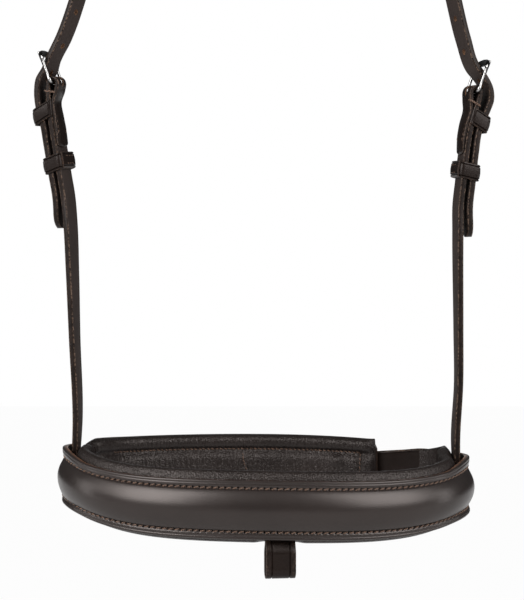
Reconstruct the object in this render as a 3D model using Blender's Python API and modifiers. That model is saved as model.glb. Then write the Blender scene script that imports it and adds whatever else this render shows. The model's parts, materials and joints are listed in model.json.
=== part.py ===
"""A padded flash noseband on its cheek straps and headstrap, in metres, +Z up.

The noseband's front faces -Y, +X is to the right in a front view, and the origin is the
underside of the headstrap where it rests on the poll. Straps are flat sheets bent along a
smooth path and thickened. The noseband and the chin pad follow one closed plan curve, the
ring: a place on it is a distance along the curve, an offset outwards and a rise.
"""

import math

import bmesh
import bpy
import numpy as np

MM = 0.001

# Headstrap and cheek straps
STRAP_WIDTH = 12.5 * MM
STRAP_THICK = 3.8 * MM
STRAP_GAP = 2.0 * MM
CHIN_GAP = 1.2 * MM
TIP_LENGTH = 9 * MM
BUCKLE_LEAN = math.radians(9.5)
BUCKLE_TWIST = math.radians(17.5)
BILLET_HANG = 86 * MM
BILLET_STRAYS = 2.6 * MM
CHAPE_LENGTH = 37 * MM
HOLE_PITCH = 21 * MM
HOLE_RADIUS = 1.7 * MM
TOP_HOLE_DROPS = (135 * MM, 155 * MM)
RIGHT_HOLES_LOWER = 4 * MM

# The left side is -1 and the right side is 1. A heel bar's place: out, down
HEEL_BAR = {-1: (125.9, 177.9), 1: (123.9, 183.3)}
# The headstrap from the poll to the buckle: out, down, twist in degrees
ARCH = {
    -1: (
        (38, 2.5, 4), (72, 20, 9), (93, 50, 17), (104, 90, 26), (113.2, 128, 30.5),
        (120.6, 152, 29), (126, 164.3, 25),
    ),
    1: (
        (38, 2.5, 4), (72, 20, 9), (93.5, 50, 17), (104.5, 90, 25), (112.6, 128, 28.5),
        (118.4, 152, 28.5), (125.3, 170, 25),
    ),
}
# Below the heel bar the layers bow out, then slope, and twist further: the bow, the drop where
# it is reached, the slope and the twist in degrees
HANG = {-1: (2.2, 14, 0.0, 8.5), 1: (-2.2, 26, 0.06, -4.5)}
SLOPE_FROM = 30 * MM
TWIST_FROM, TWIST_TO = 10 * MM, 36 * MM
# The drops that a strap's stations take below the heel bar
LAYER_DROPS = (22, 36, 54, 68)
# The cheek strap below that: out, down, twist in degrees
CHEEK = {
    -1: (
        (117.3, 262, 24), (116.1, 290, 20), (114.8, 330, 13.5), (113.0, 380, 8), (113.9, 403, 2),
        (114, 409, 0),
    ),
    1: (
        (115.1, 266, 12), (115.4, 326, 7.5), (115.5, 358, 5), (113.7, 392, 5), (114, 408, 1.5),
        (114, 414, 0),
    ),
}

# Buckles
BAR_RADIUS = 1.4 * MM
BAR_PLAY = 0.3 * MM
BESIDE_STRAP = 1.05 * MM
TONGUE_RADIUS = 1.0 * MM
# Where the tongue's shank leaves its eye: out, up
TONGUE_START = np.array((2.54, -0.54)) * MM
TONGUE_PLAY = 0.1 * MM
FRAME_LENGTH = 17.4 * MM
FRAME_TILT = math.radians(10)
FRAME_ARCH = 1.6 * MM
FRAME_CORNER = 2.6 * MM

# Keepers
KEEPER_THICK = 1.3 * MM
KEEPER_LENGTH = 9.8 * MM
KEEPER_PLAY = 0.35 * MM
FIXED_KEEPER_AT = 16.2 * MM
FIXED_KEEPER_ROOM = 1.3 * MM
FIXED_KEEPER_SKEW = math.radians(20)
RUNNING_KEEPER_AT = 47.5 * MM
RUNNING_KEEPER_SKEW = {-1: math.radians(9), 1: math.radians(3)}

# The ring, which the noseband and the chin pad follow
RING_HALF_WIDTH = 120.5 * MM
RING_FRONT = 71.5 * MM
RING_BACK = 62 * MM
RING_POWER = 2.15
FRONT_DROP = 426.6 * MM
SIDE_DROP = 415 * MM
BACK_DROP = 412 * MM
TILT_DROP = 411 * MM
ROLL = 2.2 * MM
RIGHT_SIDE_LOWER = 2 * MM

# Noseband
BAND_HALF_HEIGHT = 16.75 * MM
OUTER_THICK = 3.4 * MM
BULGE = 4.2 * MM
OUTER_PAST_SIDE = 24 * MM
LINING_THICK = 1.2 * MM
LINING_PAST_SIDE = 20 * MM
POCKET_DEPTH = 5.0 * MM
CONTACT_GAP = 0.35 * MM

# Chin pad, strap and buckle
PAD_RIGHT_END = 71 * MM
BACKING_THICK = 2.4 * MM
CHIN_WIDTH = 19 * MM
CHIN_THICK = 3.0 * MM
CHIN_BAR_AT = 40 * MM
CHIN_FRAME_LENGTH = 18 * MM
CHIN_CHAPE_LENGTH = 53 * MM
CHIN_KEEPERS_AT = (18.5 * MM, 38 * MM)
# The chin strap climbs to the noseband's right end: way past its entry, offset, rise
CHIN_RISE = ((0, -6, 8), (10, -6, 8.2), (20, -5.4, 8.2), (34, -2.6, 7.5), (50, 0.4, 4.7))

# Flash loop
LOOP_AT = 8 * MM
LOOP_WIDTH = 17 * MM
LOOP_THICK = 1.6 * MM
LOOP_LENGTH = 24 * MM
LOOP_HALF_GAP = 4 * MM
LOOP_OFFSET = -5.9 * MM

# How closely the flat facets follow a bent strap
MOST_BOW = 0.06 * MM
MOST_TWIST = math.radians(6)

UP = np.array((0.0, 0.0, 1.0))
REAR = np.array((0.0, 1.0, 0.0))


def clear_scene():
    for old in list(bpy.data.objects):
        bpy.data.objects.remove(old, do_unlink=True)


def new_collection(name):
    made = bpy.data.collections.new(name)
    bpy.context.scene.collection.children.link(made)
    return made


def material(name, colour, roughness, metallic=0.0):
    made = bpy.data.materials.new(name)
    made.use_nodes = True
    shader = made.node_tree.nodes["Principled BSDF"]
    shader.inputs["Base Color"].default_value = (*colour, 1.0)
    shader.inputs["Roughness"].default_value = roughness
    shader.inputs["Metallic"].default_value = metallic
    made.diffuse_color = (*colour, 1.0)
    return made


def unit(vector):
    return vector / np.linalg.norm(vector)


def ease(value, low, high):
    """0 below low, 1 above high and a smooth step between."""
    part = min(max((value - low) / (high - low), 0.0), 1.0)
    return part * part * (3 - 2 * part)


def smooth(points, step):
    """Points about a step apart on the smooth curve through the given points."""
    points = np.array(points, float)
    spans = np.linalg.norm(np.diff(points[:, :3], axis=0), axis=1)
    slopes = np.diff(points, axis=0) / spans[:, None]
    ends = np.concatenate([spans[:1], spans, spans[-1:]])
    slopes = np.concatenate([slopes[:1], slopes, slopes[-1:]])
    tangents = (slopes[:-1] * ends[1:, None] + slopes[1:] * ends[:-1, None]) / (
        ends[:-1] + ends[1:]
    )[:, None]
    found = [points[:1]]
    for i, span in enumerate(spans):
        t = np.linspace(0, 1, max(2, int(span / step) + 1))[1:, None]
        found.append(
            points[i] * (1 + 2 * t) * (1 - t) ** 2
            + tangents[i] * span * t * (1 - t) ** 2
            + points[i + 1] * t * t * (3 - 2 * t)
            + tangents[i + 1] * span * t * t * (t - 1)
        )
    return np.concatenate(found)


def run_along(points):
    """The length gone at each point."""
    steps = np.linalg.norm(np.diff(points, axis=0), axis=1)
    return np.concatenate([[0], np.cumsum(steps)])


def strays(points):
    """How far a run of points bows from the straight line between its ends."""
    line = unit(points[-1] - points[0])
    away = points - points[0]
    return np.linalg.norm(away - np.outer(away @ line, line), axis=1).max()


def thin_out(stations, given, tips):
    """Keep the given stations, and those where the strap has bowed, twisted or narrowed."""
    run = run_along(stations[:, :3])
    given = {int(np.argmin(np.abs(stations - point).sum(axis=1))) for point in given}
    kept = [0]
    for i in range(1, len(stations) - 1):
        last = kept[-1]
        twisted = math.acos(min(1.0, float(unit(stations[i, 3:]) @ unit(stations[last, 3:]))))
        gone = run[i] - run[last]
        near_tip = run[i] < tips[0] or run[-1] - run[i] < tips[1]
        bowed = strays(stations[last : i + 2, :3]) > MOST_BOW
        narrows = near_tip and gone > 1.4 * MM
        if i in given or bowed or twisted > MOST_TWIST or narrows:
            kept.append(i)
    kept.append(len(stations) - 1)
    return stations[kept], run[kept]


def finish_mesh(shape, name, paint, group, pivot):
    """Make the object, with its origin at the pivot when it turns or slides about one."""
    mesh = bpy.data.meshes.new(name)
    shape.to_mesh(mesh)
    shape.free()
    made = bpy.data.objects.new(name, mesh)
    made.location = tuple(pivot)
    mesh.materials.append(paint)
    mesh.shade_smooth()
    mesh.set_sharp_from_angle(angle=math.radians(40))
    group.objects.link(made)
    return made


def bent_sheet(name, place, columns, rows, thick, paint, group, **options):
    """A grid bent onto place(i, j), i up to columns and j up to rows, thickened evenly."""
    pivot = np.array(options.get("pivot", (0.0, 0.0, 0.0)))
    shape = bmesh.new()
    bmesh.ops.create_grid(shape, x_segments=columns, y_segments=rows, size=0.5)
    for corner in shape.verts:
        i = round((corner.co.x + 0.5) * columns)
        j = round((corner.co.y + 0.5) * rows)
        corner.co = place(i, j) - pivot
    if options.get("wrap"):
        bmesh.ops.remove_doubles(shape, verts=shape.verts, dist=1e-6)
    made = finish_mesh(shape, name, paint, group, pivot)
    wall = made.modifiers.new("Thickness", "SOLIDIFY")
    wall.thickness = thick
    wall.offset = 0
    wall.use_even_offset = True
    edge = made.modifiers.new("Edges", "BEVEL")
    edge.width = options.get("edge", 0.6 * MM)
    edge.segments = 1
    edge.limit_method = "ANGLE"
    edge.angle_limit = math.radians(60)
    return made


def bent_core(name, place, columns, corners, paint, group):
    """A closed section of so many corners, swept along and closed at both ends."""
    shape = bmesh.new()
    bmesh.ops.create_grid(shape, x_segments=columns, y_segments=corners, size=0.5)
    for corner in shape.verts:
        i = round((corner.co.x + 0.5) * columns)
        j = round((corner.co.y + 0.5) * corners) % corners
        corner.co = place(i, j)
    bmesh.ops.remove_doubles(shape, verts=shape.verts, dist=1e-6)
    bmesh.ops.holes_fill(shape, edges=[e for e in shape.edges if e.is_boundary])
    bmesh.ops.recalc_face_normals(shape, faces=shape.faces)
    return finish_mesh(shape, name, paint, group, (0, 0, 0))


def tip_share(run, total, tips):
    """The share of the full width near a rounded tip."""
    share = 1.0
    for gone, tip in ((run, tips[0]), (total - run, tips[1])):
        if tip and gone < tip:
            share = min(share, max(0.25, math.sqrt(1 - ((tip - gone) / tip) ** 2)))
    return share


def strap(name, path, width, thick, paint, group, tips=(0.0, 0.0), **options):
    """A flat strap through stations of place and cross direction, with rounded tips."""
    stations, run = thin_out(smooth(path, 0.4 * MM), np.array(path), tips)

    def place(i, j):
        share = tip_share(run[i], run[-1], tips)
        return stations[i, :3] + unit(stations[i, 3:]) * (j - 0.5) * width * share

    return bent_sheet(name, place, len(stations) - 1, 1, thick, paint, group, **options)


def wire(name, points, radius, paint, group, pivot, closed=False):
    """A round steel wire through the points."""
    curve = bpy.data.curves.new(name, "CURVE")
    curve.dimensions = "3D"
    curve.bevel_depth = radius
    curve.bevel_resolution = 2
    curve.use_fill_caps = True
    spline = curve.splines.new("POLY")
    spline.points.add(len(points) - 1)
    for corner, point in zip(spline.points, points):
        corner.co = (*(point - pivot), 1.0)
    spline.use_cyclic_u = closed
    spline.use_smooth = True
    curve.materials.append(paint)
    made = bpy.data.objects.new(name, curve)
    made.location = tuple(pivot)
    group.objects.link(made)
    return made


def rounded_rectangle(low, high, half_width, radius, steps):
    """Corner points (along, across) of a rounded rectangle, once round."""
    found = []
    for along, across, start in (
        (high, half_width, 0),
        (low, half_width, 90),
        (low, -half_width, 180),
        (high, -half_width, 270),
    ):
        centre = (
            along - math.copysign(radius, along - (low + high) / 2),
            across - math.copysign(radius, across),
        )
        for k in range(steps + 1):
            angle = math.radians(start + 90 * k / steps)
            found.append((centre[0] + radius * math.cos(angle), centre[1] + radius * math.sin(angle)))
    return found


def cutter(name, centre, axis, across, half_axis, half_across, half_third, group):
    """A round or oval punch: a cylinder along axis, stretched along across."""
    shape = bmesh.new()
    bmesh.ops.create_cone(
        shape, cap_ends=True, segments=12, radius1=1, radius2=1, depth=2 * half_axis
    )
    axis = unit(axis)
    across = unit(across - axis * float(across @ axis))
    third = np.cross(axis, across)
    for corner in shape.verts:
        x, y, z = corner.co
        corner.co = centre + across * x * half_across + third * y * half_third + axis * z
    made = finish_mesh(shape, name, PUNCH, group, (0, 0, 0))
    made.hide_render = True
    made.display_type = "WIRE"
    return made


def punch(target, tool):
    cut = target.modifiers.new(tool.name, "BOOLEAN")
    cut.operation = "DIFFERENCE"
    cut.solver = "EXACT"
    cut.object = tool


class BuckleFrame:
    """Local directions at a buckle: out from the strap, across it and up along it."""

    def __init__(self, origin, out, across, up, hang=(0.0, 1.0, 0.0, 0.0)):
        self.origin, self.out, self.across, self.up, self.hang = origin, out, across, up, hang

    def turned(self, up):
        """The directions out and across, where the layers have twisted below the bar."""
        turn = math.radians(self.hang[3]) * ease(-up, TWIST_FROM, TWIST_TO)
        out = self.out * math.cos(turn) + self.across * math.sin(turn)
        return out, self.across * math.cos(turn) - self.out * math.sin(turn)

    def at(self, out, up, across=0.0):
        bow, reached, slope = self.hang[:3]
        shift = bow * MM * ease(-up, 0, reached * MM) + slope * max(0.0, -up - SLOPE_FROM)
        out_here, across_here = self.turned(up)
        return self.origin + out_here * (out + shift) + self.up * up + across_here * across

    def station(self, out, up):
        return (*self.at(out, up), *self.turned(up)[1])


def side_frame(side):
    """The frame of a cheek buckle's heel bar; side is -1 on the left and 1 on the right."""
    outward = np.array((float(side), 0.0, 0.0))
    up = outward * math.sin(BUCKLE_LEAN) + UP * math.cos(BUCKLE_LEAN)
    flat_out = outward * math.cos(BUCKLE_LEAN) - UP * math.sin(BUCKLE_LEAN)
    out = flat_out * math.cos(BUCKLE_TWIST) + REAR * math.sin(BUCKLE_TWIST)
    across = REAR * math.cos(BUCKLE_TWIST) - flat_out * math.sin(BUCKLE_TWIST)
    bar_out, bar_down = HEEL_BAR[side]
    origin = outward * bar_out * MM - UP * bar_down * MM
    return BuckleFrame(origin, out, across, up, HANG[side])


def hanging_station(side, out, down, twist, lean):
    """A strap station in the vertical plane through both buckles."""
    place = np.array((side * out * MM, 0.0, -down * MM))
    normal = np.array((side * math.cos(lean), 0.0, math.sin(lean)))
    across = REAR * math.cos(math.radians(twist)) - normal * math.sin(math.radians(twist))
    return (*place, *across)


def fold_radius(thick):
    """The radius of a strap's middle where it folds round a heel bar."""
    return BAR_RADIUS + BAR_PLAY + thick / 2


def layer_offsets():
    """Offsets from the heel bar of the cheek strap's two layers, a keeper apart, and the billet."""
    outer = fold_radius(STRAP_THICK) - 0.9 * MM
    inner = outer - STRAP_THICK - KEEPER_THICK - 2 * KEEPER_PLAY
    return inner, outer, outer + STRAP_THICK + STRAP_GAP


def fold_arc(frame_at, radius):
    """The strap's half turn round the heel bar, from the inner layer to the outer one."""
    return [
        frame_at(-radius * math.cos(a), radius * math.sin(a))
        for a in np.radians(range(0, 181, 20))
    ]


def cheek_strap(side, name, frame, paint, group, cutters):
    """From the chape's end, round the heel bar and down into the noseband's pocket."""
    inner, outer, billet = layer_offsets()
    close = outer - STRAP_THICK - CONTACT_GAP
    path = [
        frame.station(close, -CHAPE_LENGTH),
        frame.station(close, -CHAPE_LENGTH + 8 * MM),
        frame.station(inner, -22.5 * MM),
        frame.station(inner, -14 * MM),
        frame.station(inner, -8 * MM),
    ]
    path += fold_arc(frame.station, fold_radius(STRAP_THICK))
    path += [frame.station(outer, -8 * MM), frame.station(outer, -14 * MM)]
    path += [frame.station(outer, -drop * MM) for drop in LAYER_DROPS]
    for out, down, twist in CHEEK[side]:
        path.append(hanging_station(side, out, down, twist, 0.0))
    out, down, twist = CHEEK[side][-1]
    path.append(hanging_station(side, out, down + STRAP_WIDTH / MM / 2, twist, 0.0))
    made = strap(
        name, path, STRAP_WIDTH, STRAP_THICK, paint, group, tips=(5 * MM, STRAP_WIDTH / 2)
    )
    slot = cutter(
        name + "_slot", frame.origin, frame.across, frame.up,
        TONGUE_RADIUS + 0.7 * MM, 6.8 * MM, 6.8 * MM, cutters,
    )
    punch(made, slot)
    return made


def headstrap_half(side, frame):
    """Stations from beside the poll, through the buckle and down to the billet's tip."""
    path = []
    for out, down, twist in ARCH[side]:
        lean = math.atan2(152 - down, 60) if down < 60 else 0.35
        path.append(hanging_station(side, out, down, twist, lean))
    billet = layer_offsets()[2]
    loop = ((5.4, 9), (9.9, 1.8), (10.6, -3), (10.1, -8.5), (9.4, -14))
    path += [frame.station(out * MM, up * MM) for out, up in loop]
    path += [frame.station(billet, -drop * MM) for drop in LAYER_DROPS]
    path.append(frame.station(billet + BILLET_STRAYS, -BILLET_HANG))
    return path


def tongue_end(length):
    """Where the tongue's shank ends: it lies on the far bar and just passes it."""
    reach = np.array((length * math.tan(FRAME_TILT) + FRAME_ARCH, length)) - TONGUE_START
    apart = BAR_RADIUS + TONGUE_RADIUS + TONGUE_PLAY
    angle = math.atan2(reach[0], reach[1]) + math.asin(apart / np.linalg.norm(reach))
    shank = (length + BAR_RADIUS + TONGUE_PLAY - TONGUE_START[1]) / math.cos(angle)
    return TONGUE_START + np.array((math.sin(angle), math.cos(angle))) * shank


def tongue_hole(name, frame, end, reach, group):
    """An oval punch along the tongue's shank, long enough for the tongue to swing open."""
    lean = unit(end - TONGUE_START)
    shank = frame.out * lean[0] + frame.up * lean[1]
    swing = frame.out * lean[1] - frame.up * lean[0]
    centre = frame.at(*(TONGUE_START + lean * reach)) + swing * 1.4 * MM
    return cutter(name, centre, shank, swing, reach - 1.6 * MM, 3.1 * MM, 1.6 * MM, group)


def round_hole(name, centre, through, across, group):
    return cutter(name, centre, through, across, STRAP_THICK, HOLE_RADIUS, HOLE_RADIUS, group)


def headstrap(frames, paint, group, cutters):
    left = headstrap_half(-1, frames[-1])
    right = headstrap_half(1, frames[1])
    poll = [(x * MM, 0, STRAP_THICK / 2, 0, 1, 0) for x in (-9, -3, 3, 9)]
    path = left[::-1] + poll + right
    made = strap(
        "headstrap", path, STRAP_WIDTH, STRAP_THICK, paint, group, tips=(TIP_LENGTH, TIP_LENGTH)
    )
    billet = layer_offsets()[2]
    for side, label in ((-1, "left"), (1, "right")):
        frame = frames[side]
        end = tongue_end(FRAME_LENGTH)
        punch(made, tongue_hole(label + "_tongue_hole", frame, end, 8.6 * MM, cutters))
        for count in (1, 2):
            up = 8 * MM - (count + 0.5) * HOLE_PITCH
            name = f"{label}_lower_hole_{count}"
            through = frame.turned(up)[0]
            punch(made, round_hole(name, frame.at(billet, up), through, frame.up, cutters))
        stations = smooth(headstrap_half(side, frame), 0.4 * MM)
        for count, drop in enumerate(TOP_HOLE_DROPS, 1):
            lower = RIGHT_HOLES_LOWER if side > 0 else 0.0
            k = int(np.argmin(np.abs(stations[:, 2] + drop + lower)))
            along = stations[k + 5, :3] - stations[k - 5, :3]
            through = np.cross(unit(stations[k, 3:]), unit(along))
            name = f"{label}_upper_hole_{count}"
            punch(made, round_hole(name, stations[k, :3], through, stations[k, 3:], cutters))
    return made


def buckle(name, frame, strap_width, length, paint, group):
    """A one-piece frame: the heel bar at the origin and an arched bar at the far end."""
    half_width = strap_width / 2 + BESIDE_STRAP + BAR_RADIUS
    points = []
    for up, across in rounded_rectangle(0, length, half_width, FRAME_CORNER, 4):
        rise = FRAME_ARCH * (1 - (across / half_width) ** 2) * ease(up, 0.6 * length, length)
        points.append(frame.at(up * math.tan(FRAME_TILT) + rise, up, across))
    return wire(name, points, BAR_RADIUS, paint, group, frame.origin, closed=True)


def tongue(name, frame, end, paint, group):
    """An eye round the heel bar and a straight shank that rests on the far bar."""
    eye = float(np.linalg.norm(TONGUE_START))
    first = math.atan2(TONGUE_START[1], TONGUE_START[0])
    points = []
    for k in range(13):
        angle = first - math.radians(285) * (1 - k / 12)
        points.append(frame.at(eye * math.cos(angle), eye * math.sin(angle)))
    for share in (0.35, 0.7, 1.0):
        points.append(frame.at(*(TONGUE_START + (end - TONGUE_START) * share)))
    return wire(name, points, TONGUE_RADIUS, paint, group, frame.origin)


def keeper(name, at, layers, thick, width, centre, paint, group, **options):
    """A leather band round two layers at given offsets; at(out, up, across) places it.

    A skewed band stands higher on its side towards the head.
    """
    beyond = KEEPER_PLAY + KEEPER_THICK / 2
    low, high = layers[0] - thick / 2 - beyond, layers[1] + thick / 2 + beyond
    ring = rounded_rectangle(low, high, width / 2 + beyond, 1.5 * MM, 2)
    rows = options.pop("rows", 1)
    skew = math.tan(options.pop("skew", 0.0))

    def place(i, j):
        out, across = ring[i % len(ring)]
        rise = ((low + high) / 2 - out) * skew
        return at(out, -centre + (0.5 - j / rows) * KEEPER_LENGTH + rise, across)

    return bent_sheet(
        name, place, len(ring), rows, KEEPER_THICK, paint, group,
        wrap=True, edge=0.35 * MM, **options,
    )


def ring_table():
    """Length, place, outward normal and breadth share all along the ring."""
    turn = np.linspace(0, 2 * math.pi, 5761)
    power = 2 / RING_POWER
    x = RING_HALF_WIDTH * np.sign(np.sin(turn)) * np.abs(np.sin(turn)) ** power
    depth = np.where(np.cos(turn) > 0, RING_FRONT, RING_BACK)
    y = -depth * np.sign(np.cos(turn)) * np.abs(np.cos(turn)) ** power
    run = np.concatenate([[0], np.cumsum(np.hypot(np.diff(x), np.diff(y)))])
    even = np.linspace(0, run[-1], 1281)
    x, y = np.interp(even, run, x), np.interp(even, run, y)
    x[-1], y[-1] = x[0], y[0]
    tx, ty = np.gradient(x), np.gradient(y)
    size = np.hypot(tx, ty)
    heading = np.unwrap(np.arctan2(ty, tx))
    bent = np.cumsum(np.sqrt(np.abs(np.gradient(heading)) + 1e-5))
    return even, x, y, ty / size, -tx / size, bent


RING = ring_table()
RING_LENGTH = float(RING[0][-1])
RIGHT_SIDE = float(RING[0][np.argmax(RING[1])])
LEFT_SIDE = RING_LENGTH - RIGHT_SIDE
BACK = RING_LENGTH / 2


def ring_point(run, offset, rise):
    """A point at a distance along the ring, an offset outwards and a rise over its middle."""
    run = run % RING_LENGTH
    x, y, nx, ny = (float(np.interp(run, RING[0], column)) for column in RING[1:5])
    share = abs(x) / RING_HALF_WIDTH
    roll = ROLL * x / RING_HALF_WIDTH
    side_drop = SIDE_DROP + (RIGHT_SIDE_LOWER if x > 0 else 0.0)
    if y < 0:
        middle = -FRONT_DROP + (FRONT_DROP - side_drop) * share**5 - roll
    else:
        middle = -BACK_DROP - (side_drop - BACK_DROP) * share**2 - roll * (1 + share**2) / 2
    normal = unit(np.array((nx, ny)))
    return np.array((x + normal[0] * offset, y + normal[1] * offset, middle + rise))


def ring_runs(start, end, columns):
    """Places from start to end, closer together where the ring bends more."""
    if start < 0:
        half = ring_runs(0, end, columns // 2)
        return np.concatenate([-half[:0:-1], half])
    low, high = np.interp((start, end), RING[0], RING[5])
    return np.interp(np.linspace(low, high, columns + 1), RING[5], RING[0])


def half_height(run):
    """The noseband is lower at its sides than at its front."""
    share = abs(ring_point(run, 0, 0)[0]) / RING_HALF_WIDTH
    return BAND_HALF_HEIGHT - 1.75 * MM * share**3


def dome(share):
    """The outer's bulge between its stitch rows, as a share of its height."""
    return max(0.0, math.cos(math.pi / 2 * min(abs(share) / 0.7, 1.0))) ** 0.75


def pocket(run):
    """How far the lining stands back for the strap ends at the sides of the noseband."""
    return POCKET_DEPTH * ease(abs(run), RIGHT_SIDE - 42 * MM, RIGHT_SIDE - 14 * MM)


def loop_pocket(run, rise):
    """How far the lining's lower lip stands back for the flash loop."""
    near = 1 - ease(abs(run - LOOP_AT), LOOP_WIDTH / 2 + 1 * MM, LOOP_WIDTH / 2 + 7 * MM)
    return 4.8 * MM * near * ease(-rise, 5 * MM, 11 * MM)


def noseband_outer(paint, group):
    end = RIGHT_SIDE + OUTER_PAST_SIDE
    columns, rows = 36, 12
    runs = ring_runs(-end, end, columns)

    def place(i, j):
        run = runs[i]
        share = 1 - 2 * j / rows
        fade = 1 - ease(abs(run), end - 22 * MM, end - 6 * MM)
        tab = math.sqrt(max(0.0, 1 - (max(0.0, abs(run) - end + 9 * MM) / (9 * MM)) ** 2))
        rise = half_height(run) * share * (0.55 + 0.45 * tab)
        return ring_point(run, -OUTER_THICK / 2 + BULGE * dome(share) * fade, rise)

    return bent_sheet("noseband_outer", place, columns, rows, OUTER_THICK, paint, group)


def roll_share(distance):
    """A padded roll thins towards its end."""
    length = 15 * MM
    return max(0.3, math.sqrt(max(0.0, 1 - (max(0.0, length - distance) / length) ** 2)))


# The front lining's section in mm: offset from the outer's inner face, rise
LINING_SECTION = (
    (-1.0, 12.6), (-1.2, 17.6), (-3.6, 21.1), (-7.2, 20.4), (-8.9, 16.4), (-9.2, 8), (-9.3, 0),
    (-9.2, -8), (-8.7, -14.5), (-5.8, -18.4), (-2.4, -17.6), (-1.0, -12.6),
)


def section_line(corners, count):
    """A smooth section through the corners, as so many equal steps in metres."""
    line = smooth([(*corner, 0) for corner in corners], 0.4)[:, :2]
    run = run_along(line)
    even = np.linspace(0, run[-1], count + 1)
    return np.array([np.interp(even, run, line[:, k]) for k in (0, 1)]).T * MM


def noseband_lining(paint, group):
    end = RIGHT_SIDE + LINING_PAST_SIDE
    section = section_line(LINING_SECTION, 12)
    columns = 34
    runs = ring_runs(-end, end, columns)

    def place(i, j):
        run = runs[i]
        deep, rise = section[j]
        share = roll_share(end - abs(run))
        rise *= half_height(run) / BAND_HALF_HEIGHT * (0.75 + 0.25 * share)
        lip = -OUTER_THICK - pocket(run) - loop_pocket(run, rise)
        return ring_point(run, lip - 1.0 * MM + (deep + 1.0 * MM) * share, rise)

    return bent_sheet(
        "noseband_lining", place, columns, len(section) - 1, LINING_THICK, paint, group,
        edge=0.3 * MM,
    )


def noseband_padding(paint, group):
    """Foam that fills the outer's bulge and the lining's roll."""
    end = RIGHT_SIDE - 2 * MM
    columns = 28
    runs = ring_runs(-end, end, columns)
    # Share of the half height, depth behind the outer's inner face and whether the bulge adds
    front = [(s, 0.4 * MM, 1) for s in (-0.6, -0.5, -0.33, 0, 0.33, 0.5, 0.6)]
    back = [(0.70, 2.2, 0), (0.96, 2.6, 0), (1.13, 4.2, 0), (1.06, 6.6, 0), (0.6, 7.6, 0)]
    back += [(-0.3, 7.2, 0), (-0.6, 6.9, 0), (-0.86, 6.3, 0), (-0.97, 5.0, 0), (-0.93, 3.2, 0)]
    back += [(-0.70, 2.2, 0)]
    ring = front + [(s, d * MM, b) for s, d, b in back]

    def place(i, j):
        run = runs[i]
        share, deep, bulge = ring[j]
        rise = half_height(run) * share
        level = -OUTER_THICK - deep - pocket(run) - loop_pocket(run, rise) * (1 if share < 0 else 0)
        if bulge:
            fade = 1 - ease(abs(run), RIGHT_SIDE - 40 * MM, RIGHT_SIDE - 16 * MM)
            filled = -OUTER_THICK - 0.6 * MM + BULGE * dome(share)
            rest = level - 1.8 * MM
            level = rest + (filled - rest) * fade
        return ring_point(run, level, rise)

    return bent_core("noseband_padding", place, columns, len(ring), paint, group)


def chin_pad_backing(paint, group):
    """The pad's outer leather, whose left end is sewn into the noseband's left end."""
    start = BACK - PAD_RIGHT_END
    end = LEFT_SIDE - 12 * MM
    columns, rows = 24, 2
    runs = ring_runs(start, end, columns)

    def place(i, j):
        run = runs[i]
        inward = ease(run, LEFT_SIDE - 62 * MM, LEFT_SIDE - 27 * MM)
        corner = tip_share(run - start, 1.0, (4 * MM, 0))
        tall = (17 - 6 * inward) * MM * (0.8 + 0.2 * corner)
        offset = -BACKING_THICK / 2 + inward * (BACKING_THICK / 2 - 6.0 * MM)
        return ring_point(run, offset, tall * (1 - j))

    return bent_sheet("chin_pad_backing", place, columns, rows, BACKING_THICK, paint, group)


# The chin pad lining's section in mm: depth behind the backing's inner face, rise
PAD_SECTION = (
    (-1.0, 13.5), (-1.3, 17.2), (-3.4, 19.2), (-6.8, 18.6), (-8.6, 15.4), (-7.4, 11.4),
    (-8.8, 7), (-9.2, 0), (-8.8, -7), (-7.4, -11.4), (-8.6, -15.4), (-6.8, -18.6),
    (-3.4, -19.2), (-1.3, -17.2), (-1.0, -13.5),
)


def chin_pad_lining(paint, group):
    start = BACK - PAD_RIGHT_END + 0.5 * MM
    end = LEFT_SIDE - 21.5 * MM
    section = section_line(PAD_SECTION, 16)
    columns = 20
    runs = ring_runs(start, end, columns)

    def place(i, j):
        run = runs[i]
        deep, rise = section[j]
        inward = ease(run, LEFT_SIDE - 62 * MM, LEFT_SIDE - 27 * MM)
        share = min(roll_share((end - run) * 2.2), roll_share((run - start) * 2.5))
        base = -BACKING_THICK - inward * 5.1 * MM
        return ring_point(run, base - 1.0 * MM + (deep + 1.0 * MM) * share, rise * (1 - 0.12 * inward))

    return bent_sheet(
        "chin_pad_lining", place, columns, len(section) - 1, LINING_THICK, paint, group,
        edge=0.3 * MM,
    )


def chin_pad_padding(paint, group):
    start = BACK - PAD_RIGHT_END + 9 * MM
    end = LEFT_SIDE - 38 * MM
    columns = 16
    runs = ring_runs(start, end, columns)
    ring = [(12.6, 0.4), (12.9, 2.4), (16.2, 2.8), (17.4, 4.0), (16.8, 5.6), (14.6, 6.6), (11.4, 5.2)]
    ring += [(6.6, 6.7), (0, 7.0)]
    ring += [(-r, d) for r, d in ring[:8][::-1]]

    def place(i, j):
        run = runs[i]
        rise, deep = ring[j]
        inward = ease(run, LEFT_SIDE - 62 * MM, LEFT_SIDE - 27 * MM)
        base = -BACKING_THICK - inward * 5.1 * MM
        return ring_point(run, base - deep * MM, rise * MM * (1 - 0.12 * inward))

    return bent_core("chin_pad_padding", place, columns, len(ring), paint, group)


def chin_heel_bar():
    """Arc place and offset of the chin buckle's heel bar."""
    return BACK - CHIN_BAR_AT, CONTACT_GAP + CHIN_THICK / 2 + fold_radius(CHIN_THICK)


def chin_at(out, up, across=0.0):
    """A point of the chin buckle's layers, which follow the ring."""
    run, bar = chin_heel_bar()
    return ring_point(run - up, bar + out, across)


def chin_station(out, up):
    return (*chin_at(out, up), *UP)


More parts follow.
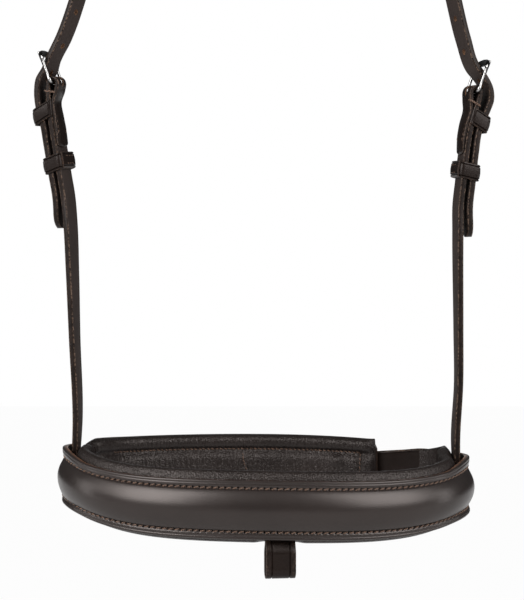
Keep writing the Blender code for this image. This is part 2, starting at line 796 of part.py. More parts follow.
def chin_frame():
    """The straight directions at the chin buckle's heel bar."""
    origin = chin_at(0, 0)
    out = unit(chin_at(1 * MM, 0) - origin)
    up = np.cross(UP, out)
    toward = chin_at(0, 5 * MM) - origin
    return BuckleFrame(origin, out, UP, up * math.copysign(1.0, float(up @ toward)))


def chin_layers():
    """Offsets of the chape's raised layer, over the sewn one and a keeper, and the billet."""
    raised = CHIN_THICK + KEEPER_THICK + 2 * KEEPER_PLAY - fold_radius(CHIN_THICK)
    return raised, raised + CHIN_THICK + CHIN_GAP


def chin_chape(frame, paint, group, cutters):
    """Sewn on the pad's back, folded round the heel bar and back over itself."""
    radius = fold_radius(CHIN_THICK)
    sewn = -radius
    path = [chin_station(sewn, -CHIN_CHAPE_LENGTH + k * 6 * MM) for k in range(8)]
    path += [chin_station(sewn, -3 * MM)] + fold_arc(chin_station, radius)
    raised = chin_layers()[0]
    path += [chin_station(raised, -8 * MM - k * 7 * MM) for k in range(6)]
    made = strap("chin_chape", path, CHIN_WIDTH, CHIN_THICK, paint, group, tips=(5 * MM, 5 * MM))
    slot = cutter(
        "chin_slot", frame.origin, frame.across, frame.up,
        TONGUE_RADIUS + 0.7 * MM, 6.2 * MM, 6.2 * MM, cutters,
    )
    punch(made, slot)
    return made


def chin_strap(frame, paint, group, cutters):
    """From the noseband's right end, behind the pad's end and through the chin buckle."""
    bar = chin_heel_bar()[1]
    billet = chin_layers()[1]
    entry = RIGHT_SIDE + 12 * MM
    path = []
    for past, offset, rise in CHIN_RISE:
        path.append((*ring_point(entry + past * MM, offset * MM, rise * MM), *UP))
    for up, rise in ((36, 3), (28, 1.8)):
        path.append((*chin_at(1.95 * MM - bar, up * MM, rise * MM), *UP))
    path += [chin_station(-0.9 * MM, 18 * MM), chin_station(4.9 * MM, 5.2 * MM)]
    path += [chin_station(7.0 * MM, 0), chin_station(6.5 * MM, -5 * MM)]
    path += [chin_station(billet, -11 * MM - k * 8 * MM) for k in range(9)]
    made = strap("chin_strap", path, CHIN_WIDTH, CHIN_THICK, paint, group, tips=(0, 11 * MM))
    end = tongue_end(CHIN_FRAME_LENGTH)
    punch(made, tongue_hole("chin_tongue_hole", frame, end, 7.6 * MM, cutters))
    return made


def loop_pivot():
    return ring_point(LOOP_AT, LOOP_OFFSET, -half_height(LOOP_AT) + 1.9 * MM)


def flash_loop(paint, group):
    """Both ends are sewn in under the band's lower edge; the strap hangs in a drop shape."""
    leg = LOOP_THICK / 2 + 0.15 * MM
    low = -(LOOP_LENGTH - LOOP_HALF_GAP - LOOP_THICK / 2)
    side = [(leg, 1.2), (leg, -2.6), (2.2 * MM, -5.5), (LOOP_HALF_GAP, -9.5)]
    side = [(out, z * MM) for out, z in side]
    side += [(LOOP_HALF_GAP, z) for z in (-11 * MM, low + 1.5 * MM, low)]
    arc = [
        (LOOP_HALF_GAP * math.cos(a), low - LOOP_HALF_GAP * math.sin(a))
        for a in np.radians((30, 60, 90, 120, 150))
    ]
    outline = side + arc + [(-out, z) for out, z in side[::-1]]
    pivot = loop_pivot()
    path = [(*(pivot - REAR * out + UP * z), 1.0, 0.0, 0.0) for out, z in outline]
    return strap("flash_loop", path, LOOP_WIDTH, LOOP_THICK, paint, group, edge=0.3 * MM, pivot=pivot)


def empty_at(name, place, group):
    made = bpy.data.objects.new(name, None)
    made.location = tuple(place)
    made.empty_display_size = 0.02
    group.objects.link(made)
    return made


def hang(pieces, holder):
    for piece in pieces:
        piece.parent = holder
        piece.location = piece.location - holder.location


def side_assembly(side, label, frame, leather, steel, group, cutters):
    cheek_strap(side, label + "_cheek_strap", frame, leather["cheek strap"], group, cutters)
    buckle(label + "_cheek_buckle", frame, STRAP_WIDTH, FRAME_LENGTH, steel["buckle"], group)
    tongue(label + "_cheek_tongue", frame, tongue_end(FRAME_LENGTH), steel["tongue"], group)
    outer, billet = layer_offsets()[1:]
    keeper(
        label + "_fixed_keeper", frame.at, (outer, billet + FIXED_KEEPER_ROOM), STRAP_THICK,
        STRAP_WIDTH, FIXED_KEEPER_AT, leather["fixed keeper"], group, rows=2,
        skew=FIXED_KEEPER_SKEW,
    )
    keeper(
        label + "_running_keeper", frame.at, (outer, billet), STRAP_THICK, STRAP_WIDTH,
        RUNNING_KEEPER_AT, leather["running keeper"], group, skew=RUNNING_KEEPER_SKEW[side],
        pivot=frame.at(0, -RUNNING_KEEPER_AT),
    )


def main():
    clear_scene()
    group = new_collection("horse_noseband")
    cutters = new_collection("cutters")
    cutters.hide_render = True
    brown = (0.018, 0.011, 0.009)
    leather = {
        use: material(use, brown, 0.42)
        for use in ("cheek strap", "headstrap", "fixed keeper", "running keeper", "outer",
                    "backing", "chin strap", "chape", "chin keeper", "flash loop")
    }
    soft = {use: material(use, (0.024, 0.017, 0.014), 0.6) for use in ("lining", "pad lining")}
    foam = {use: material(use, (0.05, 0.05, 0.05), 0.95) for use in ("foam", "pad foam")}
    steel = {use: material(use, (0.62, 0.62, 0.63), 0.18, 1.0) for use in ("buckle", "tongue")}
    frames = {side: side_frame(side) for side in (-1, 1)}
    headstrap(frames, leather["headstrap"], group, cutters)
    for side, label in ((-1, "left"), (1, "right")):
        side_assembly(side, label, frames[side], leather, steel, group, cutters)
    band = [
        noseband_outer(leather["outer"], group),
        noseband_padding(foam["foam"], group),
        noseband_lining(soft["lining"], group),
        chin_pad_backing(leather["backing"], group),
        chin_pad_padding(foam["pad foam"], group),
        chin_pad_lining(soft["pad lining"], group),
    ]
    at_chin = chin_frame()
    band.append(chin_chape(at_chin, leather["chape"], group, cutters))
    band.append(chin_strap(at_chin, leather["chin strap"], group, cutters))
    for name, centre in zip(("chin_buckle_keeper", "chin_end_keeper"), CHIN_KEEPERS_AT):
        band.append(keeper(
            name, chin_at, chin_layers(), CHIN_THICK, CHIN_WIDTH, centre,
            leather["chin keeper"], group, rows=2,
        ))
    band.append(
        buckle("chin_buckle", at_chin, CHIN_WIDTH, CHIN_FRAME_LENGTH, steel["buckle"], group)
    )
    end = tongue_end(CHIN_FRAME_LENGTH)
    band.append(tongue("chin_tongue", at_chin, end, steel["tongue"], group))
    band.append(flash_loop(leather["flash loop"], group))
    holder = empty_at("noseband_tilt_axis", (0, 0, -TILT_DROP), group)
    hang(band, holder)


PUNCH = material("punch", (0.8, 0.3, 0.1), 0.5)
main()
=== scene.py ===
# %% [markdown]
# # A padded noseband, from flat leather to a hanging bridle part
#
# The real object is bench work: strips of leather are cut flat, scored, punched and
# stitched, then folded round buckles or drawn over foam. This lesson follows the same
# order. Each piece is modelled flat with edit-mode tools, and then laid along the route
# that the CAD model gives it.
#
# ## The imported model
# Its pieces say where everything sits, and its bodies say what moves together.

# %% Load the imported model
import json
import math

import bmesh
import bpy
import numpy as np
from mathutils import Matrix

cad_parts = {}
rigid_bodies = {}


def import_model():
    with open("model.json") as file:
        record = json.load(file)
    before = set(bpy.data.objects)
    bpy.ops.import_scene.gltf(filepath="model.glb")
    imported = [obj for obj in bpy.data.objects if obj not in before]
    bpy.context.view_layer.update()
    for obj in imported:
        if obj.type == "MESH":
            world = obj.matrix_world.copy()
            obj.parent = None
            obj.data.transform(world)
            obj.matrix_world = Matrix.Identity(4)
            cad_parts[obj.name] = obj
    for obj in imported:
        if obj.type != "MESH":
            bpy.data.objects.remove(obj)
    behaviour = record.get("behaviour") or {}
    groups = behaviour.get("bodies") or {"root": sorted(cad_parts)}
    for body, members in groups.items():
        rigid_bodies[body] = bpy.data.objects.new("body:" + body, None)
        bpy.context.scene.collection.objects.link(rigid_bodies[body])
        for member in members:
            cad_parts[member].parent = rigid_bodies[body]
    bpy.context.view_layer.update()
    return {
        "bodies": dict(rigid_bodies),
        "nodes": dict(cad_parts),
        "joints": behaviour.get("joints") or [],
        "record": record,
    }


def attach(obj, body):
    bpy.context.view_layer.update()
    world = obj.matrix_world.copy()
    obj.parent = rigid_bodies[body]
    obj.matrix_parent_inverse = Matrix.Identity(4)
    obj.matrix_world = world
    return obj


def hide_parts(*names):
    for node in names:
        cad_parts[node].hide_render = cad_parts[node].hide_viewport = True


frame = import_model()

MM = 0.001

# %% [markdown]
# ## The camera
# The photograph was taken level, from the front, with a long lens. Straight lines at
# known sizes gave the distance and the focal length in pixels. A Blender lens is given in
# millimetres on a 36 mm sensor, which here lies along the picture's long side.

# %% Camera
PICTURE_TALL = 600
FOCAL_PIXELS = 1917
SENSOR_MM = 36
CAMERA_AWAY = 1150 * MM
CAMERA_LEFT = 2.4 * MM
CAMERA_DOWN = 308 * MM

bpy.ops.object.camera_add(
    location=(-CAMERA_LEFT, -CAMERA_AWAY, -CAMERA_DOWN), rotation=(math.pi / 2, 0, 0)
)
camera = bpy.context.object
camera.data.sensor_width = SENSOR_MM
camera.data.lens = FOCAL_PIXELS * SENSOR_MM / PICTURE_TALL
bpy.context.scene.camera = camera
bpy.context.scene.view_settings.view_transform = "Standard"
print("lens:", round(camera.data.lens, 1), "mm")

# %% [markdown]
# ## The studio
# Dark leather shows its surroundings more than its own colour. The bulge of the noseband
# mirrors two bright patches high at the sides, a dark band at eye level and a pale floor,
# so the world is dim, most of all at the horizon, and soft boxes hang above it at both
# sides. The camera sees plain white, and what mirrors the part of the room behind the
# object sees that white too.

# %% Shader nodes
def feed(tree, node, inputs):
    """Give inputs of a node their numbers or colours, or link them to outputs."""
    for socket, value in inputs.items():
        if isinstance(value, bpy.types.NodeSocket):
            tree.links.new(value, node.inputs[socket])
        else:
            node.inputs[socket].default_value = value


def add_node(tree, kind, inputs, **settings):
    """A shader node of a kind, with its settings first and then its inputs."""
    node = tree.nodes.new("ShaderNode" + kind)
    for name, value in settings.items():
        setattr(node, name, value)
    feed(tree, node, inputs)
    return node


def math_node(tree, operation, first, second):
    """A math node on two sockets or numbers, and its result."""
    return add_node(tree, "Math", {0: first, 1: second}, operation=operation).outputs[0]


# %% World
# How far a direction points upwards, and the strength of the light from there
HORIZON_UP, HORIZON_STRENGTH = 0.02, 0.05
ABOVE_UP, ABOVE_STRENGTH = 0.55, 0.18
# How far a direction points to the rear, where the white backdrop begins and is full
BACKDROP_FROM, BACKDROP_FULL = 0.97, 0.995

world = bpy.data.worlds.new("studio")
world.use_nodes = True
bpy.context.scene.world = world
tree = world.node_tree
seen = tree.nodes["Background"]
feed(tree, seen, {"Strength": 1.0, "Color": (1, 1, 1, 1)})
direction = add_node(tree, "TexCoord", {}).outputs["Generated"]
parts = add_node(tree, "SeparateXYZ", {0: direction})
strength = add_node(
    tree, "MapRange",
    {"Value": parts.outputs["Z"], "From Min": HORIZON_UP, "From Max": ABOVE_UP,
     "To Min": HORIZON_STRENGTH, "To Max": ABOVE_STRENGTH},
    interpolation_type="SMOOTHSTEP",
).outputs["Result"]
backdrop = add_node(
    tree, "MapRange",
    {"Value": parts.outputs["Y"], "From Min": BACKDROP_FROM, "From Max": BACKDROP_FULL},
).outputs["Result"]
lit = add_node(tree, "Background", {"Strength": strength})
ray = add_node(tree, "LightPath", {}).outputs
mirrored = math_node(tree, "MULTIPLY", ray["Is Glossy Ray"], backdrop)
clear = math_node(tree, "MAXIMUM", ray["Is Camera Ray"], ray["Is Transmission Ray"])
shown = math_node(tree, "MAXIMUM", clear, mirrored)
mixed = add_node(tree, "MixShader", {0: shown, 1: lit.outputs[0], 2: seen.outputs[0]})
feed(tree, tree.nodes["World Output"], {"Surface": mixed.outputs[0]})
print("world:", world.name)

# %% Soft boxes and floor
FLOOR_SIZE, FLOOR_Z = 14, -760 * MM
# The share of plain white in what the camera and the mirroring surfaces see of the floor
FLOOR_WHITE = 0.975


def soft_box(name, place, aim, size, power):
    """A soft area lamp at a place, turned towards an aim."""
    bpy.ops.object.light_add(type="AREA", location=place)
    lamp = bpy.context.object
    lamp.name = name
    away = lamp.location - type(lamp.location)(aim)
    lamp.rotation_euler = away.to_track_quat("Z", "Y").to_euler()
    lamp.data.shape = "RECTANGLE"
    lamp.data.size, lamp.data.size_y = size
    lamp.data.energy = power
    print("lamp:", name, power, "W")


MIDDLE, NOSE = (0, 0, -230 * MM), (0, 0, -430 * MM)
soft_box("box_above", (0, -1.15, 0.53), NOSE, (0.5, 0.9), 0.2)
soft_box("box_left", (-0.80, -0.87, 0.33), NOSE, (0.72, 1.1), 20)
soft_box("box_right", (0.86, -0.78, 0.33), NOSE, (0.80, 1.1), 16)
soft_box("far_left", (-1.20, -0.40, 0.35), NOSE, (0.5, 0.9), 2.0)
soft_box("far_right", (1.20, -0.40, 0.35), NOSE, (0.5, 0.9), 1.5)
soft_box("strip_left", (-1.3, -0.1, -0.15), MIDDLE, (0.16, 0.7), 2.2)
soft_box("strip_right", (1.3, -0.1, -0.15), MIDDLE, (0.16, 0.7), 2.2)

bpy.ops.mesh.primitive_plane_add(size=FLOOR_SIZE, location=(0, 0, FLOOR_Z))
floor = bpy.context.object
floor.name = "floor"
pale = bpy.data.materials.new("pale_floor")
pale.use_nodes = True
tree = pale.node_tree
ground = tree.nodes["Principled BSDF"]
feed(tree, ground, {"Base Color": (0.82, 0.82, 0.82, 1), "Roughness": 0.9})
glow = add_node(tree, "Emission", {})
ray = add_node(tree, "LightPath", {}).outputs
seen = math_node(tree, "MAXIMUM", ray["Is Camera Ray"], ray["Is Glossy Ray"])
share = math_node(tree, "MULTIPLY", seen, FLOOR_WHITE)
mixed = add_node(tree, "MixShader", {0: share, 1: ground.outputs[0], 2: glow.outputs[0]})
feed(tree, tree.nodes["Material Output"], {"Surface": mixed.outputs[0]})
floor.data.materials.append(pale)

# %% [markdown]
# ## Shared effects
# Three effects come back in nearly every leather: a grain that breaks the gloss, a colour
# that drifts a little from place to place, and raw brown fibre that shows through dye
# where leather is cut. On the straps' corners the same speckled colour is also a painted
# highlight line. Each is a node group with its own inputs, made once.

# %% Node groups
def new_group(name, inputs, output, kind):
    """An empty shader node group, what it is given, and the node that takes its result."""
    group = bpy.data.node_groups.new(name, "ShaderNodeTree")
    for label, socket_kind, value in inputs:
        socket = group.interface.new_socket(
            label, in_out="INPUT", socket_type="NodeSocket" + socket_kind
        )
        if value is not None:
            socket.default_value = value
    group.interface.new_socket(output, in_out="OUTPUT", socket_type="NodeSocket" + kind)
    given = group.nodes.new("NodeGroupInput").outputs
    return group, given, group.nodes.new("NodeGroupOutput")


def noise_node(tree, vector, scale, detail):
    """Noise at a scale in features to the metre."""
    return add_node(tree, "TexNoise", {"Vector": vector, "Scale": scale, "Detail": detail})


def make_grain():
    """Rounded pebbles with creases between, blended with a softer unevenness."""
    group, given, out = new_group(
        "leather grain",
        [("Vector", "Vector", None), ("Pebbles", "Float", 900.0), ("Unevenness", "Float", 0.4)],
        "Height", "Float",
    )
    vector, pebbles = given["Vector"], given["Pebbles"]
    drift = noise_node(group, vector, math_node(group, "MULTIPLY", pebbles, 0.45), 2)
    bent = add_node(
        group, "Mix", {0: 0.0006, 4: vector, 5: drift.outputs["Color"]}, data_type="VECTOR"
    )
    cells = add_node(
        group, "TexVoronoi", {"Vector": bent.outputs[1], "Scale": pebbles, "Smoothness": 0.35},
        feature="SMOOTH_F1",
    )
    pebble = math_node(group, "SUBTRACT", 1.0, cells.outputs["Distance"])
    coarse = noise_node(group, vector, math_node(group, "MULTIPLY", pebbles, 0.16), 3)
    mixed = add_node(
        group, "Mix", {0: given["Unevenness"], 2: pebble, 3: coarse.outputs["Fac"]}
    )
    feed(group, out, {"Height": mixed.outputs[0]})
    return group


def make_drift():
    """A colour that is a little lighter here and darker there."""
    group, given, out = new_group(
        "uneven dye",
        [("Vector", "Vector", None), ("Colour", "Color", (0.02, 0.015, 0.01, 1)),
         ("Patches", "Float", 60.0), ("Amount", "Float", 0.3)],
        "Color", "Color",
    )
    patches = noise_node(group, given["Vector"], given["Patches"], 4).outputs["Fac"]
    swing = math_node(group, "SUBTRACT", patches, 0.5)
    swing = math_node(group, "MULTIPLY", swing, given["Amount"])
    swing = math_node(group, "ADD", math_node(group, "MULTIPLY", swing, 3.0), 1.0)
    scaled = add_node(
        group, "VectorMath", {0: given["Colour"], "Scale": swing}, operation="SCALE"
    )
    feed(group, out, {"Color": scaled.outputs[0]})
    return group


def make_fibre_and_highlight():
    """Speckled colour through the dye where the mask lets it: brown fibre at cut edges, and on strap
    corners a light painted highlight line.
    """
    group, given, out = new_group(
        "raw fibre",
        [("Vector", "Vector", None), ("Colour", "Color", (0.02, 0.015, 0.01, 1)),
         ("Raw", "Color", (0.17, 0.085, 0.045, 1)), ("Mask", "Float", 1.0),
         ("Specks", "Float", 700.0), ("Cover", "Float", 0.5)],
        "Color", "Color",
    )
    specks = noise_node(group, given["Vector"], given["Specks"], 3).outputs["Fac"]
    lowest = math_node(group, "SUBTRACT", 0.85, math_node(group, "MULTIPLY", given["Cover"], 0.6))
    highest = math_node(group, "ADD", lowest, 0.16)
    shown = add_node(
        group, "MapRange", {"Value": specks, "From Min": lowest, "From Max": highest}
    )
    share = math_node(group, "MULTIPLY", shown.outputs["Result"], given["Mask"])
    mixed = add_node(
        group, "Mix", {0: share, 6: given["Colour"], 7: given["Raw"]}, data_type="RGBA"
    )
    feed(group, out, {"Color": mixed.outputs[2]})
    return group


GRAIN, DRIFT, FIBRE_HIGHLIGHT_GROUP = make_grain(), make_drift(), make_fibre_and_highlight()
print("node groups:", GRAIN.name, DRIFT.name, FIBRE_HIGHLIGHT_GROUP.name)

# %% [markdown]
# ## The finishes
# All the leathers are one recipe with different numbers: smooth waxed strap leather, its
# matt flesh side, burnished cut edges with brown fibre, soft pebbled lining and the smooth
# band. The straps' corners carry brown fibre and a painted highlight line. Colour, roughness
# and bump come from the groups. Thread and steel are their own.

# %% Leathers
def new_material(name, colour):
    """A material, its node tree and its shader."""
    paint = bpy.data.materials.new(name)
    paint.use_nodes = True
    paint.diffuse_color = (*colour, 1)
    return paint, paint.node_tree, paint.node_tree.nodes["Principled BSDF"]


def leather(
    name, colour, rough, pebbles, depth, rub_and_highlight=False, raw=(0.17, 0.085, 0.045), cover=0.0,
    specks=700.0, patches=45.0, amount=0.35, uneven=0.4, strength=0.6, specular=0.5,
):
    """One leather: its colour, roughness range, pebbles to the metre and their depth."""
    paint, tree, shader = new_material(name, colour)
    place = add_node(tree, "TexCoord", {}).outputs["Object"]
    dye = add_node(
        tree, "Group",
        {"Vector": place, "Colour": (*colour, 1), "Patches": patches, "Amount": amount},
        node_tree=DRIFT,
    )
    fibre = add_node(
        tree, "Group",
        {"Vector": place, "Colour": dye.outputs[0], "Raw": (*raw, 1), "Cover": cover,
         "Specks": specks},
        node_tree=FIBRE_HIGHLIGHT_GROUP,
    )
    # The mask brings in the second colour: brown fibre at cut edges, and on the straps' corners a painted
    # highlight line
    if rub_and_highlight:
        mask = add_node(tree, "Attribute", {}, attribute_name="rub_and_highlight")
        feed(tree, fibre, {"Mask": mask.outputs["Fac"]})
    height = add_node(
        tree, "Group", {"Vector": place, "Pebbles": pebbles, "Unevenness": uneven},
        node_tree=GRAIN,
    ).outputs[0]
    gloss = add_node(
        tree, "MapRange", {"Value": height, "To Min": rough[1], "To Max": rough[0]}
    )
    bump = add_node(
        tree, "Bump", {"Strength": strength, "Distance": depth, "Height": height}
    )
    feed(tree, shader, {
        "Base Color": fibre.outputs[0], "Roughness": gloss.outputs[0],
        "Normal": bump.outputs[0], "Specular IOR Level": specular,
        "Specular Tint": (1.0, 0.9, 0.86, 1),
    })
    print("leather:", name)
    return paint


DYED = (0.0072, 0.0042, 0.0032)
# A light grey-brown for the straps' corners: raw fibre, and a painted highlight where the rounded corner
# catches the light
CORNER_FIBRE_AND_HIGHLIGHT = (0.13, 0.085, 0.060)
STRAP = leather(
    "strap_grain_side", DYED, (0.25, 0.38), 1300, 0.00014, rub_and_highlight=True, cover=0.6, raw=CORNER_FIBRE_AND_HIGHLIGHT,
    specular=0.2,
)
FLESH = leather(
    "strap_flesh_side", (0.0150, 0.0095, 0.0078), (0.6, 0.8), 1000, 0.00025, uneven=0.7,
    cover=0.1, specks=500.0, raw=(0.06, 0.035, 0.024), specular=0.3,
)
EDGE = leather(
    "burnished_edge", DYED, (0.28, 0.46), 850, 0.0002, uneven=0.6, rub_and_highlight=True,
    cover=0.66, specks=900.0, raw=CORNER_FIBRE_AND_HIGHLIGHT, specular=0.17, amount=1.1, patches=260.0,
)
BAND = leather(
    "band_grain_side", (0.0135, 0.0098, 0.0088), (0.27, 0.38), 1200, 0.00007, rub_and_highlight=True, cover=0.8,
    patches=25.0, strength=0.5, raw=(0.17, 0.082, 0.045),
)
CUT = leather(
    "cut_edge", (0.016, 0.009, 0.006), (0.5, 0.7), 900, 0.0002, uneven=0.7, cover=0.5,
    raw=(0.09, 0.045, 0.025), specular=0.3,
)
LINING = leather(
    "pebbled_lining", (0.0105, 0.0076, 0.0068), (0.22, 0.38), 1150, 0.0003, uneven=0.05,
    strength=1.0, patches=35.0, specular=0.3,
)
HOLE = leather("punched_hole", (0.14, 0.07, 0.035), (0.7, 0.9), 1500, 0.0002, cover=0.6)

# %% Thread and steel
# The darker tone is painted shade in the grooves between the plies
THREAD_GROOVE_SHADE, THREAD_LIGHT = (0.035, 0.019, 0.012, 1), (0.16, 0.088, 0.055, 1)
# The steel's colour is painted light: a bright highlight where it faces the eye, painted shade on the
# flanks
STEEL_PAINTED_GLINT, STEEL_PAINTED_FLANK_SHADE = (0.46, 0.45, 0.44), (0.035, 0.034, 0.033)


def thread_material():
    """Waxed thread: the plies show as slanting bands, with painted shade in the grooves between them."""
    paint, tree, shader = new_material("waxed_thread", (0.08, 0.045, 0.03))
    place = add_node(tree, "TexCoord", {}).outputs["Object"]
    plies = add_node(
        tree, "TexWave", {"Vector": place, "Scale": 520.0, "Distortion": 1.5},
        bands_direction="DIAGONAL",
    ).outputs["Fac"]
    # Low in the bump, between the plies, the colour is darker: painted shade
    colour = add_node(
        tree, "Mix", {0: plies, 6: THREAD_GROOVE_SHADE, 7: THREAD_LIGHT}, data_type="RGBA"
    )
    bump = add_node(tree, "Bump", {"Distance": 0.00015, "Height": plies})
    feed(tree, shader, {
        "Base Color": colour.outputs[2], "Roughness": 0.55, "Normal": bump.outputs[0],
    })
    return paint


def steel_material():
    """Polished steel: a painted highlight line where it faces the eye, painted shade on its dark flanks,
    faint rubbing marks.
    """
    paint, tree, shader = new_material("polished_steel", STEEL_PAINTED_GLINT)
    # The colour turns from the painted highlight to the painted flank shade as the surface turns away
    # from the eye
    facing = add_node(tree, "LayerWeight", {}).outputs["Facing"]
    painted_flank_shade = add_node(tree, "MapRange", {"Value": facing, "From Min": 0.06, "From Max": 0.24})
    tone = add_node(
        tree, "Mix", {0: painted_flank_shade.outputs["Result"], 6: (*STEEL_PAINTED_GLINT, 1), 7: (*STEEL_PAINTED_FLANK_SHADE, 1)},
        data_type="RGBA",
    )
    place = add_node(tree, "TexCoord", {}).outputs["Object"]
    rub = noise_node(tree, place, 900.0, 4).outputs["Fac"]
    gloss = add_node(tree, "MapRange", {"Value": rub, "To Min": 0.06, "To Max": 0.15})
    bump = add_node(tree, "Bump", {"Strength": 0.12, "Distance": 0.0001, "Height": rub})
    feed(tree, shader, {
        "Base Color": tone.outputs[2], "Roughness": gloss.outputs[0], "Metallic": 1.0,
        "Normal": bump.outputs[0],
    })
    return paint


THREAD, STEEL = thread_material(), steel_material()
print("finishes:", len(bpy.data.materials))

# %% [markdown]
# ## Tools for the bench
# An operator acts on everything that is selected, so each tool first lets go of all and
# then picks what it needs by place. A strip starts as a cube: its long edges are bevelled,
# its grain side is scored with bisect, and it is then cut across many times, so that it
# can bend. All of that happens while it lies flat, which keeps every step simple.

# %% Selecting
def let_go():
    bpy.ops.object.select_all(action="DESELECT")


def hold(piece):
    """Select one piece alone and make it active."""
    let_go()
    piece.select_set(True)
    bpy.context.view_layer.objects.active = piece


def pick(piece, kind, test):
    """In edit mode, select the corners, edges or faces that pass a test."""
    bpy.ops.mesh.select_mode(type=kind)
    bpy.ops.mesh.select_all(action="DESELECT")
    shape = bmesh.from_edit_mesh(piece.data)
    for part in {"VERT": shape.verts, "EDGE": shape.edges, "FACE": shape.faces}[kind]:
        if test(part):
            part.select_set(True)
    bmesh.update_edit_mesh(piece.data)


def runs_along(edge):
    """Does an edge of a flat strip run along it?"""
    first, last = (corner.co for corner in edge.verts)
    return abs(first.x - last.x) > 10 * (abs(first.y - last.y) + abs(first.z - last.z))


# %% Cutting a strip
# How near to straight up or down a face points that counts as grain or flesh side
FLAT_FACE = 0.75
FIRST_SPANS = 10


def pressed(level, half_width):
    """The cuts that make a line at a level on both sides of a strip's middle."""
    return [sign * (level + d) for sign in (-1, 1) for d in (-half_width, 0, half_width)]


def strip(name, size, rounding, lines, step, groove):
    """A flat strip: x along it from 0, y across it, z through it, grain side up.

    Its material slots are grain side, edge and flesh side. The groove is a level, pressed
    on both sides of the middle, and a depth.
    """
    length, width, thick = size
    let_go()
    bpy.ops.mesh.primitive_cube_add(
        size=1, location=(length / 2, 0, 0), scale=(length, width, thick)
    )
    piece = bpy.context.object
    piece.name = name
    bpy.ops.object.transform_apply(location=True, rotation=False, scale=True)
    bpy.ops.object.mode_set(mode="EDIT")
    pick(piece, "EDGE", runs_along)
    bpy.ops.mesh.bevel(offset=rounding, segments=3, affect="EDGES")
    for y in lines:
        pick(piece, "FACE", lambda face: face.normal.z > 0.9)
        bpy.ops.mesh.bisect(plane_co=(0, y, 0), plane_no=(0, 1, 0))
    for face in bmesh.from_edit_mesh(piece.data).faces:
        level = face.normal.z
        face.material_index = 0 if level > FLAT_FACE else 2 if level < -FLAT_FACE else 1
    bmesh.update_edit_mesh(piece.data)
    for y in (-groove[0], groove[0]):
        pick(piece, "VERT", lambda corner: corner.co.z > 0 and abs(corner.co.y - y) < 1e-5)
        bpy.ops.transform.translate(value=(0, 0, -groove[1]))
    pick(piece, "EDGE", runs_along)
    bpy.ops.mesh.subdivide(number_cuts=FIRST_SPANS - 1)
    pick(piece, "EDGE", runs_along)
    bpy.ops.mesh.subdivide(number_cuts=max(1, round(length / step / FIRST_SPANS) - 1))
    bpy.ops.object.mode_set(mode="OBJECT")
    return piece


# %% Punching, laying and handing over
def corners_of(piece):
    """A mesh's corner places as rows of three numbers."""
    found = np.empty(len(piece.data.vertices) * 3)
    piece.data.vertices.foreach_get("co", found)
    return found.reshape(-1, 3)


def set_corners(piece, places):
    piece.data.vertices.foreach_set("co", np.asarray(places, float).ravel())
    piece.data.update()


def apply_modifier(piece, kind, **settings):
    """Add a modifier to a piece, give it its settings and apply it."""
    hold(piece)
    bpy.ops.object.modifier_add(type=kind)
    modifier = piece.modifiers[-1]
    for name, value in settings.items():
        setattr(modifier, name, value)
    bpy.ops.object.modifier_apply(modifier=modifier.name)


def punch(piece, holes, depth):
    """Round or oval holes through a flat piece, each (x, half length, half width)."""
    tools = []
    for x, half_length, half_width in holes:
        let_go()
        bpy.ops.mesh.primitive_cylinder_add(
            vertices=28, radius=1, depth=depth, location=(x, 0, 0),
            scale=(half_length, half_width, 1),
        )
        tools.append(bpy.context.object)
    let_go()
    for tool in tools:
        tool.select_set(True)
    bpy.context.view_layer.objects.active = tools[0]
    bpy.ops.object.join()
    bpy.ops.object.transform_apply(location=True, rotation=True, scale=True)
    tool = bpy.context.object
    tool.data.materials.append(HOLE)
    apply_modifier(
        piece, "BOOLEAN", operation="DIFFERENCE", solver="EXACT", material_mode="TRANSFER",
        object=tool,
    )
    bpy.data.objects.remove(tool)


def lay(piece, place):
    """Bend a flat piece: place takes the arrays x, y, z and gives the corners' places."""
    set_corners(piece, place(*corners_of(piece).T))


def mask_fibre_and_highlight(piece, mask):
    """Keep a mask from 0 to 1 on the corners, for the fibre that shows at rubbed edges and, on straps, a
    painted highlight line.
    """
    layer = piece.data.attributes.new("rub_and_highlight", "FLOAT", "POINT")
    layer.data.foreach_set("value", np.asarray(mask, np.float32))


def edge_mask(y, half_width, begin, full):
    """A mask that begins and is full at two distances in from a strip's long edges."""
    return ease(np.abs(y), half_width - begin, half_width - full)


def paint_with(piece, *paints):
    for index, paint in enumerate(paints):
        if index < len(piece.data.materials):
            piece.data.materials[index] = paint
        else:
            piece.data.materials.append(paint)


def face_out(piece):
    """Turn every face outwards."""
    hold(piece)
    bpy.ops.object.mode_set(mode="EDIT")
    bpy.ops.mesh.select_all(action="SELECT")
    bpy.ops.mesh.normals_make_consistent(inside=False)
    bpy.ops.object.mode_set(mode="OBJECT")


def hand_over(piece, body, slot, *replaced, angle=40):
    """Smooth a finished piece, put it on its body and hide the imported parts it replaces."""
    hold(piece)
    bpy.ops.object.shade_smooth_by_angle(angle=math.radians(angle))
    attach(piece, body)
    if replaced:
        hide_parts(*replaced)
    print(piece.name, "on", body + ":", len(piece.data.polygons), "faces")
    return piece


# %% [markdown]
# ## Where the straps run
# A strap's route is a short list of stations, each a place and the direction across the
# strap. A smooth curve goes through them. At each distance along it the route gives a
# place, the direction across and the direction out of the grain side, so a flat strip is
# bent by looking its corners up. The stations are those of the CAD model.

# %% Smooth routes
def unit(vectors):
    vectors = np.asarray(vectors, float)
    return vectors / np.linalg.norm(vectors, axis=-1, keepdims=True)


def ease(value, low, high):
    """0 below low, 1 above high and a smooth step between."""
    share = np.clip((value - low) / (high - low), 0, 1)
    return share * share * (3 - 2 * share)


